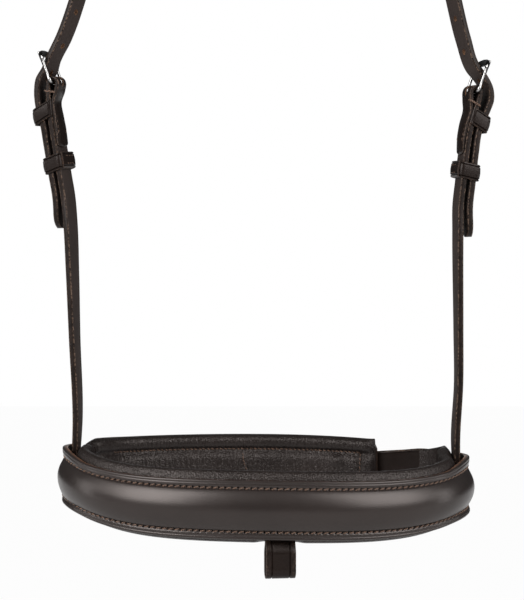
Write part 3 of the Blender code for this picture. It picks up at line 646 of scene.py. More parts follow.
def smooth(points, step):
    """Points about a step apart on the smooth curve through the given points."""
    points = np.array(points, float)
    spans = np.linalg.norm(np.diff(points[:, :3], axis=0), axis=1)
    slopes = np.diff(points, axis=0) / spans[:, None]
    ends = np.concatenate([spans[:1], spans, spans[-1:]])
    slopes = np.concatenate([slopes[:1], slopes, slopes[-1:]])
    tangents = (slopes[:-1] * ends[1:, None] + slopes[1:] * ends[:-1, None]) / (
        ends[:-1] + ends[1:]
    )[:, None]
    found = [points[:1]]
    for i, span in enumerate(spans):
        t = np.linspace(0, 1, max(2, int(span / step) + 1))[1:, None]
        found.append(
            points[i] * (1 + 2 * t) * (1 - t) ** 2
            + tangents[i] * span * t * (1 - t) ** 2
            + points[i + 1] * t * t * (3 - 2 * t)
            + tangents[i + 1] * span * t * t * (t - 1)
        )
    return np.concatenate(found)


def run_along(points):
    steps = np.linalg.norm(np.diff(points, axis=0), axis=1)
    return np.concatenate([[0], np.cumsum(steps)])


class Route:
    """A strap's route; facing is 1 or -1, whichever turns the grain side out."""

    def __init__(self, stations, facing):
        fine = smooth(stations, 0.25 * MM)
        self.places = fine[:, :3]
        self.run = run_along(self.places)
        self.length = float(self.run[-1])
        self.across = unit(fine[:, 3:])
        along = unit(np.gradient(self.places, self.run, axis=0))
        self.out = unit(np.cross(along, self.across)) * facing

    def look_up(self, table, x):
        return np.stack([np.interp(x, self.run, table[:, k]) for k in range(3)], axis=1)

    def place(self, x, y, z):
        """Where the flat point x along, y across and z above the strip's middle goes."""
        across, out = unit(self.look_up(self.across, x)), unit(self.look_up(self.out, x))
        return self.look_up(self.places, x) + across * y[:, None] + out * z[:, None]

    def nearest(self, point):
        """The distance along at which the route passes closest to a point."""
        return float(self.run[np.argmin(np.linalg.norm(self.places - point, axis=1))])


# %% Sizes and places of the strap work
STRAP_WIDTH, STRAP_THICK, STRAP_GAP = 12.5 * MM, 3.8 * MM, 2.0 * MM
BUCKLE_LEAN, BUCKLE_TWIST = math.radians(9.5), math.radians(17.5)
BILLET_HANG, BILLET_STRAYS = 86 * MM, 2.6 * MM
HOLE_PITCH, HOLE_RADIUS = 21 * MM, 1.7 * MM
TOP_HOLE_DROPS, RIGHT_HOLES_LOWER = (135 * MM, 155 * MM), 4 * MM
BAR_RADIUS, BAR_PLAY, BESIDE_STRAP = 1.4 * MM, 0.3 * MM, 1.05 * MM
KEEPER_THICK, KEEPER_LENGTH, KEEPER_PLAY = 1.3 * MM, 9.8 * MM, 0.35 * MM
FIXED_KEEPER_AT, FIXED_KEEPER_ROOM, FIXED_KEEPER_SKEW = 16.2 * MM, 1.3 * MM, math.radians(20)
RUNNING_KEEPER_AT, RUNNING_KEEPER_SKEW = 47.5 * MM, {-1: math.radians(9), 1: math.radians(3)}
CONTACT_GAP = 0.35 * MM

# The leather is skived thin where it folds round the bar, and thinner still in the chape
FOLD_THICK, CHAPE_THICK, CHAPE_LENGTH, CHAPE_CROWN = 2.3 * MM, 1.8 * MM, 38.5 * MM, 0.7 * MM

# The left side is -1 and the right side is 1. A heel bar's place: out, down
HEEL_BAR = {-1: (125.9, 177.9), 1: (123.9, 183.3)}
# The headstrap from the poll to the buckle: out, down, twist in degrees
ARCH = {
    -1: (
        (38, 2.5, 4), (72, 20, 9), (93, 50, 17), (104, 90, 26), (113.2, 128, 30.5),
        (121.4, 151, 29), (127.4, 163.3, 26),
    ),
    1: (
        (38, 2.5, 4), (72, 20, 9), (93.5, 50, 17), (104.5, 90, 25), (112.6, 128, 28.5),
        (118.4, 152, 27.5), (124.2, 169, 24),
    ),
}
# Below the heel bar the layers bow out, then slope, and twist further: the bow, the drop where
# it is reached, the slope and the twist in degrees
HANG = {-1: (2.2, 14, 0.0, 8.5), 1: (-2.2, 26, 0.06, -4.5)}
SLOPE_FROM, TWIST_FROM, TWIST_TO = 30 * MM, 10 * MM, 36 * MM
# Near the poll the strap faces away from a point this far down and this far in from it, in mm.
# From a drop in mm on, its lean in radians stays the same
LEAN_DOWN, LEAN_IN = 152, 60
EVEN_FROM, EVEN_LEAN = 60, 0.35
# Where the headstrap passes close over the fold: out, up and extra twist in degrees
OVER_FOLD = {-1: ((2.9, 8.1, 16), (8.5, 2.8, 7)), 1: ((3.6, 9.2, 7.5), (9.0, 2.6, 3))}
LAYER_DROPS = (22, 36, 54, 68)
# The billet's way down from the bar to its own layer: out, up
BILLET_ENTRY = ((10.6, -3), (10.1, -8.5), (9.4, -14))
# The cheek strap below that: out, down, twist in degrees
CHEEK = {
    -1: (
        (117.3, 262, 24), (116.1, 290, 20), (114.8, 330, 13.5), (113.0, 380, 8), (113.9, 403, 2),
        (114, 409, 0),
    ),
    1: (
        (115.1, 266, 12), (115.4, 326, 7.5), (115.5, 358, 5), (113.7, 392, 5), (114, 408, 1.5),
        (114, 414, 0),
    ),
}

UP = np.array((0.0, 0.0, 1.0))
REAR = np.array((0.0, 1.0, 0.0))


class BuckleFrame:
    """Directions at a heel bar: out from the strap, across it and up along it."""

    def __init__(self, origin, out, across, up, hang=(0.0, 1.0, 0.0, 0.0)):
        self.origin, self.out, self.across, self.up, self.hang = origin, out, across, up, hang

    def turned(self, up):
        """The directions out and across, where the layers have twisted below the bar."""
        turn = math.radians(self.hang[3]) * ease(-up, TWIST_FROM, TWIST_TO)
        out = self.out * np.cos(turn) + self.across * np.sin(turn)
        return out, self.across * np.cos(turn) - self.out * np.sin(turn)

    def at(self, out, up, across=0.0):
        out, up, across = (np.asarray(value, float)[..., None] for value in (out, up, across))
        bow, reached, slope = self.hang[:3]
        shift = bow * MM * ease(-up, 0, reached * MM) + slope * np.maximum(0.0, -up - SLOPE_FROM)
        out_here, across_here = self.turned(up)
        return self.origin + out_here * (out + shift) + self.up * up + across_here * across

    def station(self, out, up):
        return (*self.at(out, up), *self.turned(up)[1])


def side_frame(side):
    """The frame of a cheek buckle: side is -1 on the left and 1 on the right."""
    outward = np.array((float(side), 0.0, 0.0))
    up = outward * math.sin(BUCKLE_LEAN) + UP * math.cos(BUCKLE_LEAN)
    flat_out = outward * math.cos(BUCKLE_LEAN) - UP * math.sin(BUCKLE_LEAN)
    out = flat_out * math.cos(BUCKLE_TWIST) + REAR * math.sin(BUCKLE_TWIST)
    across = REAR * math.cos(BUCKLE_TWIST) - flat_out * math.sin(BUCKLE_TWIST)
    bar_out, bar_down = HEEL_BAR[side]
    return BuckleFrame(outward * bar_out * MM - UP * bar_down * MM, out, across, up, HANG[side])


def hanging_station(side, out, down, twist, lean):
    place = np.array((side * out * MM, 0.0, -down * MM))
    normal = np.array((side * math.cos(lean), 0.0, math.sin(lean)))
    across = REAR * math.cos(math.radians(twist)) - normal * math.sin(math.radians(twist))
    return (*place, *across)


def fold_radius(thick):
    return BAR_RADIUS + BAR_PLAY + thick / 2


OUTER_LAYER = fold_radius(STRAP_THICK) - 0.9 * MM
BILLET_LAYER = OUTER_LAYER + STRAP_THICK + STRAP_GAP
CHAPE_LAYER = OUTER_LAYER - STRAP_THICK / 2 - 0.15 * MM - CHAPE_THICK / 2


def fold_arc(station, radius):
    turns = np.radians(range(0, 181, 20))
    return [station(-radius * math.cos(a), radius * math.sin(a)) for a in turns]


def cheek_route(side, frame):
    radius = fold_radius(FOLD_THICK)
    path = [frame.station(CHAPE_LAYER, -up * MM) for up in (CHAPE_LENGTH / MM, 30, 20, 11)]
    path.append(frame.station(-0.75 * radius, -4.5 * MM))
    path += fold_arc(frame.station, radius)
    path += [frame.station(OUTER_LAYER, -drop * MM) for drop in (9, 14, *LAYER_DROPS)]
    path += [hanging_station(side, out, down, twist, 0.0) for out, down, twist in CHEEK[side]]
    out, down, twist = CHEEK[side][-1]
    path.append(hanging_station(side, out, down + STRAP_WIDTH / MM / 2, twist, 0.0))
    return Route(path, side)


def headstrap_half(side, frame):
    path = []
    for out, down, twist in ARCH[side]:
        lean = math.atan2(LEAN_DOWN - down, LEAN_IN) if down < EVEN_FROM else EVEN_LEAN
        path.append(hanging_station(side, out, down, twist, lean))
    for out, up, turn in OVER_FOLD[side]:
        turn, outward = math.radians(turn), (frame.out + frame.up) * math.sqrt(0.5)
        across = frame.across * math.cos(turn) - outward * math.sin(turn)
        path.append((*frame.at(out * MM, up * MM), *across))
    path += [frame.station(out * MM, up * MM) for out, up in BILLET_ENTRY]
    path += [frame.station(BILLET_LAYER, -drop * MM) for drop in LAYER_DROPS]
    return path + [frame.station(BILLET_LAYER + BILLET_STRAYS, -BILLET_HANG)]


def headstrap_route(frames):
    poll = [(x * MM, 0, STRAP_THICK / 2, 0, 1, 0) for x in (-9, -3, 3, 9)]
    return Route(headstrap_half(-1, frames[-1])[::-1] + poll + headstrap_half(1, frames[1]), 1)


FRAMES = {side: side_frame(side) for side in (-1, 1)}
CHEEK_ROUTES = {side: cheek_route(side, FRAMES[side]) for side in (-1, 1)}
HEAD_ROUTE = headstrap_route(FRAMES)
print("headstrap:", round(HEAD_ROUTE.length / MM), "mm, cheek strap:",
      round(CHEEK_ROUTES[-1].length / MM), "mm")

# %% [markdown]
# ## Straps
# Good strap leather has two scored lines that follow its edges, rounded shoulders and
# rounded tips. The strip is scored while it is flat. Its ends are narrowed as it is laid,
# because that only moves corners.

# %% Strap pieces
SCORE_IN, SCORE_HALF, SCORE_DEPTH = 1.7 * MM, 0.35 * MM, 0.3 * MM
SHOULDER = 1.1 * MM
# Fibre and a painted highlight line begin to show this far in from a corner, and show fully this far in
FIBRE_HIGHLIGHT_FROM, FIBRE_HIGHLIGHT_FULL = 0.9 * MM, 0.35 * MM


def new_strap(name, length, width, thick, step):
    """A strip with a scored line inside each edge, and fibre with a painted highlight line along its four
    corners.
    """
    score = width / 2 - SCORE_IN
    piece = strip(
        name, (length, width, thick), SHOULDER, pressed(score, SCORE_HALF) + [0.0], step,
        (score, SCORE_DEPTH),
    )
    _, y, z = corners_of(piece).T
    near_side = edge_mask(y, width / 2, FIBRE_HIGHLIGHT_FROM, FIBRE_HIGHLIGHT_FULL)
    mask_fibre_and_highlight(piece, near_side * edge_mask(z, thick / 2, FIBRE_HIGHLIGHT_FROM, FIBRE_HIGHLIGHT_FULL))
    paint_with(piece, STRAP, EDGE, FLESH)
    return piece


def tip_share(run, total, tips):
    """The share of the full width near a rounded tip."""
    share = np.ones_like(run)
    for gone, tip in ((run, tips[0]), (total - run, tips[1])):
        if tip:
            part = np.clip((tip - gone) / tip, 0, 1)
            share = np.minimum(share, np.maximum(0.22, np.sqrt(1 - part**2)))
    return share


def lay_strap(piece, route, tips):
    def place(x, y, z):
        return route.place(x, y * tip_share(x, route.length, tips), z)

    lay(piece, place)


# %% Headstrap
STRAP_STEP, TIP_LENGTH = 0.9 * MM, 9 * MM
# Where the tongue goes through: out and up from the heel bar, and the slot's half sizes
TONGUE_SLOT_AT, TONGUE_SLOT = (5.0 * MM, 6.7 * MM), (3.8 * MM, 1.6 * MM)
ROUND_HOLE = (HOLE_RADIUS, HOLE_RADIUS)


def make_headstrap():
    piece = new_strap("headstrap_leather", HEAD_ROUTE.length, STRAP_WIDTH, STRAP_THICK, STRAP_STEP)
    holes = []
    for side, frame in FRAMES.items():
        holes.append((HEAD_ROUTE.nearest(frame.at(*TONGUE_SLOT_AT)), *TONGUE_SLOT))
        for count in (1, 2):
            middle = frame.at(BILLET_LAYER, 8 * MM - (count + 0.5) * HOLE_PITCH)
            holes.append((HEAD_ROUTE.nearest(middle), *ROUND_HOLE))
        for drop in TOP_HOLE_DROPS:
            lower = RIGHT_HOLES_LOWER if side > 0 else 0.0
            beyond = HEAD_ROUTE.places[:, 0] * side > 0
            level = np.where(beyond, np.abs(HEAD_ROUTE.places[:, 2] + drop + lower), 1.0)
            holes.append((float(HEAD_ROUTE.run[np.argmin(level)]), *ROUND_HOLE))
    punch(piece, holes, 3 * STRAP_THICK)
    lay_strap(piece, HEAD_ROUTE, (TIP_LENGTH, TIP_LENGTH))
    return hand_over(piece, "straps", "strap_leather", "headstrap")


make_headstrap()

# %% Cheek straps
SIDES = {-1: "left", 1: "right"}
# The slot in the fold that lets the tongue turn: half length, half width
FOLD_SLOT = (7.0 * MM, 2.0 * MM)


def fold_run(side):
    """How far along the cheek strap its fold's top lies."""
    return CHEEK_ROUTES[side].nearest(FRAMES[side].at(0, fold_radius(FOLD_THICK)))


def skived(side, x):
    """The share of the full thickness left along the cheek strap."""
    fold = fold_run(side)
    places = (0, 12 * MM, fold - 14 * MM, fold - 6 * MM, fold, fold + 9 * MM, fold + 18 * MM)
    thick = (0.4 * MM, 1.5 * MM, CHAPE_THICK, 2.7 * MM, FOLD_THICK, 2.9 * MM, STRAP_THICK)
    return np.interp(x, places, thick) / STRAP_THICK


def make_cheek_strap(side):
    label, route = SIDES[side], CHEEK_ROUTES[side]
    piece = new_strap(label + "_cheek_leather", route.length, STRAP_WIDTH, STRAP_THICK, STRAP_STEP)
    punch(piece, [(fold_run(side), *FOLD_SLOT)], 3 * STRAP_THICK)

    def place(x, y, z):
        end = tip_share(x, route.length, (2.5 * MM, STRAP_WIDTH / 2))
        share = skived(side, x)
        on_chape = 1 - ease(x, fold_run(side) - 16 * MM, fold_run(side) - 7 * MM)
        level = (share * STRAP_THICK - CHAPE_THICK) / 2 * on_chape
        level = level + np.where(z > 0, CHAPE_CROWN * (1 - (2 * y / STRAP_WIDTH) ** 2), 0) * on_chape
        return route.place(x, y * end, z * share + level)

    lay(piece, place)
    return hand_over(piece, "straps", "strap_leather", label + "_cheek_strap")


for side in SIDES:
    make_cheek_strap(side)

# %% [markdown]
# ## Stitches
# One stitch is a slanted grain of thread whose ends dip into the leather. It is modelled
# once from a small sphere, and an Array modifier repeats it into a straight row. The row
# is then laid by the same rule as the leather below it, so it always follows the seam.

# %% Stitch rows
def stitch_row(name, start, end, level, height, pitch, place, slant=18, fat=0.36 * MM):
    """A row of stitches along y = level from x = start to end, laid by place."""
    let_go()
    bpy.ops.mesh.primitive_uv_sphere_add(
        segments=8, ring_count=6, radius=1, scale=(pitch * 0.47, fat * 1.1, fat),
        rotation=(0, 0, math.radians(slant)), location=(start + pitch / 2, level, height),
    )
    row = bpy.context.object
    row.name = name
    bpy.ops.object.transform_apply(location=True, rotation=True, scale=True)
    x, y, z = corners_of(row).T
    dip = np.abs(x - start - pitch / 2) / (pitch * 0.47)
    set_corners(row, np.stack([x, y, z - fat * 1.1 * dip**3], axis=1))
    apply_modifier(
        row, "ARRAY", use_relative_offset=False, use_constant_offset=True,
        constant_offset_displace=(pitch, 0, 0), count=max(1, int((end - start) / pitch)),
    )
    lay(row, place)
    paint_with(row, THREAD)
    return row


def join(name, pieces):
    let_go()
    for piece in pieces:
        piece.select_set(True)
    bpy.context.view_layer.objects.active = pieces[0]
    bpy.ops.object.join()
    made = bpy.context.object
    made.name = name
    return made


# %% Sewing the chapes
STITCH_PITCH = 3.0 * MM
# A row begins this far from the chape's end and stops this far before the fold
CHAPE_ROW_FROM, CHAPE_ROW_STOP = 8 * MM, 9 * MM


def rod(name, points, thickness, fineness, paint, thin=None):
    """A round rod through points, as a mesh; thin scales its thickness at each point."""
    curve = bpy.data.curves.new(name, "CURVE")
    curve.dimensions = "3D"
    curve.bevel_depth = thickness
    curve.bevel_resolution = fineness
    curve.use_fill_caps = True
    line = curve.splines.new("POLY")
    line.points.add(len(points) - 1)
    for corner, point, share in zip(line.points, points, thin or [1.0] * len(points)):
        corner.co = (*point, 1.0)
        corner.radius = share
    made = bpy.data.objects.new(name, curve)
    bpy.context.scene.collection.objects.link(made)
    hold(made)
    bpy.ops.object.convert(target="MESH")
    made = bpy.context.object
    paint_with(made, paint)
    return made


# Where the thread crosses the strap's near edge: (out, up) on the chape and on the outer layer
THREAD_ACROSS = {-1: ((-1.7, -5.9), (5.0, -3.9)), 1: ((-3.3, -5.6), (4.4, -8.0))}


def sew_chape(side):
    """Two rows hold the chape under the buckle, and a bar of thread crosses below the fold."""
    label, route = SIDES[side], CHEEK_ROUTES[side]
    rows = []
    for sign in (-1, 1):
        level = sign * (STRAP_WIDTH / 2 - SCORE_IN)
        rows.append(stitch_row(
            label + "_row", CHAPE_ROW_FROM, fold_run(side) - CHAPE_ROW_STOP, level * 0.97,
            CHAPE_THICK / 2 - 0.15 * MM, STITCH_PITCH, route.place, fat=0.27 * MM,
        ))
    frame = FRAMES[side]
    (low_out, low_up), (high_out, high_up) = THREAD_ACROSS[side]
    for beside in (-0.25, 0.3):
        line = [frame.at(low_out * MM, (low_up + beside) * MM, -4.2 * MM)]
        for share in (0.0, 0.3, 0.65, 1.0):
            out = (low_out + (high_out - low_out) * share) * MM
            up = (low_up + (high_up - low_up) * share + beside) * MM
            line.append(frame.at(out, up, -(6.4 + 0.3 * math.sin(math.pi * share)) * MM))
        line.append(frame.at(high_out * MM + 0.4 * MM, (high_up + beside) * MM, -4.2 * MM))
        rows.append(rod(label + "_bar", line, 0.26 * MM, 2, THREAD))
    return hand_over(join(label + "_chape_stitches", rows), "straps", "strap_leather")


for side in SIDES:
    sew_chape(side)

# %% [markdown]
# ## Buckles
# A bridle buckle is one piece of round steel wire, bent to a rounded rectangle whose far
# bar is arched, with a tongue that turns on the near bar. A plane with bevelled corners
# gives the outline. Converted to a curve it gets its round section, and converted back it
# is a mesh that can be laid like the leather. The arms are slimmer than the bars, and the
# far bar is broader on its inner side.

# %% Buckle frames
FRAME_LENGTH, FRAME_TILT = 17.4 * MM, math.radians(10)
FRAME_ARCH, FRAME_CORNER, FRAME_BOW = 1.6 * MM, 2.6 * MM, 2.0 * MM
FAR_BAR_BROADER, ARM_SLIMMER = 1.3 * MM, 0.36
WIRE_FINENESS = 4


def round_wire(radius):
    """Turn the active outline mesh into wire of a radius, as a mesh."""
    bpy.ops.object.convert(target="CURVE")
    wire = bpy.context.object
    wire.data.bevel_depth = radius
    wire.data.bevel_resolution = WIRE_FINENESS
    wire.data.use_fill_caps = True
    bpy.ops.object.convert(target="MESH")
    return bpy.context.object


def buckle_frame(name, strap_width, length, frame):
    half_width = strap_width / 2 + BESIDE_STRAP + BAR_RADIUS
    let_go()
    bpy.ops.mesh.primitive_plane_add(size=1, location=(length / 2, 0, 0))
    outline = bpy.context.object
    outline.scale = (length, 2 * half_width, 1)
    bpy.ops.object.transform_apply(location=True, rotation=False, scale=True)
    bpy.ops.object.mode_set(mode="EDIT")
    bpy.ops.mesh.select_all(action="SELECT")
    bpy.ops.mesh.bevel(offset=FRAME_CORNER, segments=8, affect="VERTICES")
    bpy.ops.mesh.select_all(action="SELECT")
    bpy.ops.mesh.delete(type="ONLY_FACE")
    pick(outline, "EDGE", lambda edge: edge.calc_length() > 3 * MM)
    bpy.ops.mesh.subdivide(number_cuts=24)
    bpy.ops.object.mode_set(mode="OBJECT")
    piece = round_wire(BAR_RADIUS)
    piece.name = name

    def place(x, y, z):
        inner = np.clip((length - x) / BAR_RADIUS, 0, 1)
        inner = inner * ease(x, length - 2.2 * BAR_RADIUS, length - BAR_RADIUS)
        x = x - FAR_BAR_BROADER * inner * (np.abs(y) < half_width - 0.5 * BAR_RADIUS)
        rise = FRAME_ARCH * (1 - (y / half_width) ** 2) * ease(x, 0.6 * length, length)
        on_arm = ease(x, 1 * MM, 5 * MM) * (1 - ease(x, 0.8 * length, length))
        slim = 1 - ARM_SLIMMER * on_arm * (np.abs(y) > half_width - 2 * BAR_RADIUS)
        arm = np.sign(y) * half_width
        bow = FRAME_BOW * (1 - (y / half_width) ** 2) * ease(x, 0.6 * length, length)
        return frame.at(z * slim + x * math.tan(FRAME_TILT) + rise, x + bow, arm + (y - arm) * slim)

    lay(piece, place)
    paint_with(piece, STEEL)
    face_out(piece)
    return piece


# %% Tongues
TONGUE_RADIUS = 1.0 * MM
TONGUE_START = np.array((2.54, -0.54)) * MM
TONGUE_PLAY, EYE_SWELL = 0.1 * MM, 0.6 * MM
EYE_TURN, EYE_STEPS = math.radians(285), 20
# Shares of the shank's length, and of the full thickness at the last four of them
SHANK_SHARES, POINT_THIN = (0.15, 0.35, 0.6, 0.85, 0.96, 1.0), [0.95, 0.85, 0.7, 0.45]


def tongue_end(length):
    """Where the shank ends: it lies on the far bar and just passes it."""
    reach = np.array((length * math.tan(FRAME_TILT) + FRAME_ARCH, length)) - TONGUE_START
    apart = BAR_RADIUS + TONGUE_RADIUS + TONGUE_PLAY
    angle = math.atan2(reach[0], reach[1]) + math.asin(apart / np.linalg.norm(reach))
    shank = (length + BAR_RADIUS + TONGUE_PLAY - TONGUE_START[1]) / math.cos(angle)
    return TONGUE_START + np.array((math.sin(angle), math.cos(angle))) * shank


def tongue(name, frame, end):
    """An eye round the heel bar and a shank that thins to a rounded point."""
    eye = float(np.linalg.norm(TONGUE_START))
    first = math.atan2(TONGUE_START[1], TONGUE_START[0])
    turns = [first - EYE_TURN * (1 - k / EYE_STEPS) for k in range(EYE_STEPS + 1)]
    swell = [eye + EYE_SWELL * math.sin(math.pi * k / EYE_STEPS) for k in range(EYE_STEPS + 1)]
    points = [frame.at(r * math.cos(a), r * math.sin(a)) for r, a in zip(swell, turns)]
    shank = end - TONGUE_START
    points += [frame.at(*(TONGUE_START + shank * share)) for share in SHANK_SHARES]
    thin = [1.0] * (len(points) - len(POINT_THIN)) + POINT_THIN
    piece = rod(name, points, TONGUE_RADIUS, WIRE_FINENESS, STEEL, thin)
    face_out(piece)
    return piece


for side, label in SIDES.items():
    made = buckle_frame(label + "_buckle_frame", STRAP_WIDTH, FRAME_LENGTH, FRAMES[side])
    hand_over(made, label + "_buckle", "polished_steel", label + "_cheek_buckle")
    made = tongue(label + "_buckle_tongue", FRAMES[side], tongue_end(FRAME_LENGTH + FRAME_BOW))
    hand_over(made, label + "_tongue", "polished_steel", label + "_cheek_tongue")

# %% [markdown]
# ## Keepers
# A keeper is a short band of thin leather bent round the straps, with a pressed line near
# each edge and raw brown fibre on its cut edges. Its flat strip is laid round a rounded
# rectangle. The running keepers overlap on the side that faces the head and are sewn
# there. The fixed ones are pared thin on that side and sewn in between the layers.

# %% Keeper bands
KEEPER_LINE_IN, KEEPER_LINE_HALF, KEEPER_LINE_DEPTH = 1.3 * MM, 0.4 * MM, 0.5 * MM
KEEPER_CORNER, KEEPER_CROWN, KEEPER_SWELL = 1.5 * MM, 0.45 * MM, 0.35 * MM
# A tucked band is pared near its low side: fully up to a distance, not at all from another
PARED_FULL, PARED_TO, PARED_SHIFT, PARED_SHARE = 1.2 * MM, 2.6 * MM, 0.75 * MM, 0.8


def rounded_rectangle(low, high, half_width, radius):
    """Places (out, across) round a rounded rectangle, from the middle of its low side."""
    corners = (
        (low, -half_width, 180), (high, -half_width, 270), (high, half_width, 0), (low, half_width, 90),
    )
    found = [(low, 0.0)]
    for out, across, start in corners:
        centre = (
            out - math.copysign(radius, out - (low + high) / 2),
            across - math.copysign(radius, across),
        )
        for turn in np.radians(np.linspace(start, start + 90, 9)):
            found.append((centre[0] + radius * math.cos(turn), centre[1] + radius * math.sin(turn)))
    return np.array([*found, (low, 0.0)])


def keeper(name, at, layers, thick, width, centre, skew=0.0, overlap=0.0, tucked=False):
    """A band round two layers; at(out, up, across) places it.

    A skewed band stands higher towards the head. One that overlaps is sewn to itself on the
    side that faces the head, and a tucked one is pared thin there and sewn in.
    """
    beyond = KEEPER_PLAY + KEEPER_THICK / 2
    low, high = layers[0] - thick / 2 - beyond, layers[1] + thick / 2 + beyond
    ring = rounded_rectangle(low, high, width / 2 + beyond, KEEPER_CORNER)
    run = run_along(ring)
    around = float(run[-1])
    score = KEEPER_LENGTH / 2 - KEEPER_LINE_IN
    piece = strip(
        name, (around + overlap, KEEPER_LENGTH, KEEPER_THICK), 0.35 * MM,
        pressed(score, KEEPER_LINE_HALF) + [0.0], 0.6 * MM, (score, KEEPER_LINE_DEPTH),
    )
    x, y, z = corners_of(piece).T
    crown = KEEPER_CROWN * np.clip((np.abs(y) - score) / KEEPER_LINE_IN, 0, 1) ** 2
    swell = KEEPER_SWELL * np.clip(1 - (y / score) ** 2, 0, 1)
    set_corners(piece, np.stack([x, y, z + np.where(z > 0, swell - crown, 0.0)], axis=1))
    mask_fibre_and_highlight(piece, edge_mask(y, KEEPER_LENGTH / 2, 0.4 * MM, 0.1 * MM))
    paint_with(piece, STRAP, CUT, FLESH)
    along = np.gradient(ring, run, axis=0)
    normal = unit(np.stack([along[:, 1], -along[:, 0]], axis=1))

    def place(x, y, z):
        x = np.clip(x, 0.15 * MM, around + overlap - 0.15 * MM) - overlap / 2
        doubled = (KEEPER_THICK + 0.1 * MM) * ease(x, around - overlap / 2 - 5 * MM, around - overlap / 2)
        z = z + (doubled if overlap else 0.0)
        x = x % around
        out, across = (np.interp(x, run, ring[:, k]) for k in (0, 1))
        if tucked:
            pared = 1 - ease(out, low + PARED_FULL, low + PARED_TO)
            out = out + pared * PARED_SHIFT
            z = z * (1 - PARED_SHARE * pared)
        out = out + z * np.interp(x, run, normal[:, 0])
        across = across + z * np.interp(x, run, normal[:, 1])
        return at(out, y - centre + ((low + high) / 2 - out) * math.tan(skew), across)

    lay(piece, place)
    face_out(piece)
    if overlap:
        rows = [
            stitch_row(
                name + "_row", around + 1.2 * MM, around + overlap - 2 * MM,
                sign * (score - KEEPER_LINE_IN), KEEPER_THICK / 2, 2.6 * MM, place, fat=0.28 * MM,
            )
            for sign in (-1, 1)
        ]
        piece = join(name, [piece, *rows])
    return piece


for side, label in SIDES.items():
    made = keeper(
        label + "_fixed_keeper_band", FRAMES[side].at, (OUTER_LAYER, BILLET_LAYER + FIXED_KEEPER_ROOM),
        STRAP_THICK, STRAP_WIDTH, FIXED_KEEPER_AT, FIXED_KEEPER_SKEW, tucked=True,
    )
    hand_over(made, "straps", "strap_leather", label + "_fixed_keeper")
    made = keeper(
        label + "_running_keeper_band", FRAMES[side].at, (OUTER_LAYER, BILLET_LAYER),
        STRAP_THICK, STRAP_WIDTH, RUNNING_KEEPER_AT, RUNNING_KEEPER_SKEW[side], overlap=STRAP_WIDTH,
    )
    hand_over(made, label + "_running_keeper", "strap_leather", label + "_running_keeper")

# %% [markdown]
# ## The ring
# The noseband and the chin pad follow one closed curve seen from above, blunter than an
# ellipse. A place on it is a distance along the curve from the middle of the front, an
# offset outwards and a rise. The curve and its heights are those of the CAD model.

# %% Ring
RING_HALF_WIDTH, RING_FRONT, RING_BACK, RING_POWER = 120.5 * MM, 71.5 * MM, 62 * MM, 2.15
FRONT_DROP, SIDE_DROP, BACK_DROP = 426.6 * MM, 415 * MM, 412 * MM
ROLL, RIGHT_SIDE_LOWER = 2.2 * MM, 2 * MM


def ring_table():
    turn = np.linspace(0, 2 * math.pi, 5761)
    power = 2 / RING_POWER
    x = RING_HALF_WIDTH * np.sign(np.sin(turn)) * np.abs(np.sin(turn)) ** power
    depth = np.where(np.cos(turn) > 0, RING_FRONT, RING_BACK)
    y = -depth * np.sign(np.cos(turn)) * np.abs(np.cos(turn)) ** power
    run = run_along(np.stack([x, y], axis=1))
    even = np.linspace(0, run[-1], 1281)
    x, y = np.interp(even, run, x), np.interp(even, run, y)
    x[-1], y[-1] = x[0], y[0]
    along = unit(np.stack([np.gradient(x), np.gradient(y)], axis=1))
    return even, x, y, along[:, 1], -along[:, 0]


RING = ring_table()
RING_LENGTH = float(RING[0][-1])
RIGHT_SIDE = float(RING[0][np.argmax(RING[1])])
LEFT_SIDE = RING_LENGTH - RIGHT_SIDE
BACK = RING_LENGTH / 2


def ring_point(run, offset, rise):
    """Places at distances along the ring, offsets outwards and rises over its middle."""
    run = np.asarray(run, float) % RING_LENGTH
    x, y, nx, ny = (np.interp(run, RING[0], column) for column in RING[1:5])
    share = np.abs(x) / RING_HALF_WIDTH
    roll = ROLL * x / RING_HALF_WIDTH
    side_drop = SIDE_DROP + RIGHT_SIDE_LOWER * (x > 0)
    front = -FRONT_DROP + (FRONT_DROP - side_drop) * share**5 - roll
    back = -BACK_DROP - (side_drop - BACK_DROP) * share**2 - roll * (1 + share**2) / 2
    normal = unit(np.stack([nx, ny], axis=-1))
    return np.stack(
        [x + normal[..., 0] * offset, y + normal[..., 1] * offset, np.where(y < 0, front, back) + rise],
        axis=-1,
    )


print("ring:", round(RING_LENGTH / MM), "mm round")

# %% [markdown]
# ## The noseband's outer leather
# The outer is one wide strip, moulded over foam so that it bulges between two stitched
# channels. Its flat edges stay thin. The strip is scored close together where the stitches
# run, because each stitch pulls its own small pit into the leather.

# %% Outer leather
BAND_HALF_HEIGHT, OUTER_THICK, BULGE, OUTER_PAST_SIDE = 16.75 * MM, 3.4 * MM, 4.2 * MM, 24 * MM
BAND_END = RIGHT_SIDE + OUTER_PAST_SIDE
SEAM_LEVEL, SEAM_PITCH, SEAM_FROM_END = 12.3 * MM, 3.7 * MM, 8 * MM
PIT_DEPTH, PIT_WIDTH, TROUGH_DEPTH, TROUGH_WIDTH = 1.0 * MM, 0.55 * MM, 0.35 * MM, 0.9 * MM
# At the sides the edges flare out, and the upper corner stands higher: left and right
FLARE_LOW, FLARE_HIGH, CORNER_UP = 1.5 * MM, 1.2 * MM, (2.6, 3.4)
BAND_TAB = 9 * MM
RIM_LEVEL, RIM_LINE_HALF, RIM_DEPTH = 15.0 * MM, 0.3 * MM, 0.18 * MM


def half_height(run):
    share = np.abs(ring_point(run, 0, 0)[..., 0]) / RING_HALF_WIDTH
    return BAND_HALF_HEIGHT - 1.75 * MM * share**3


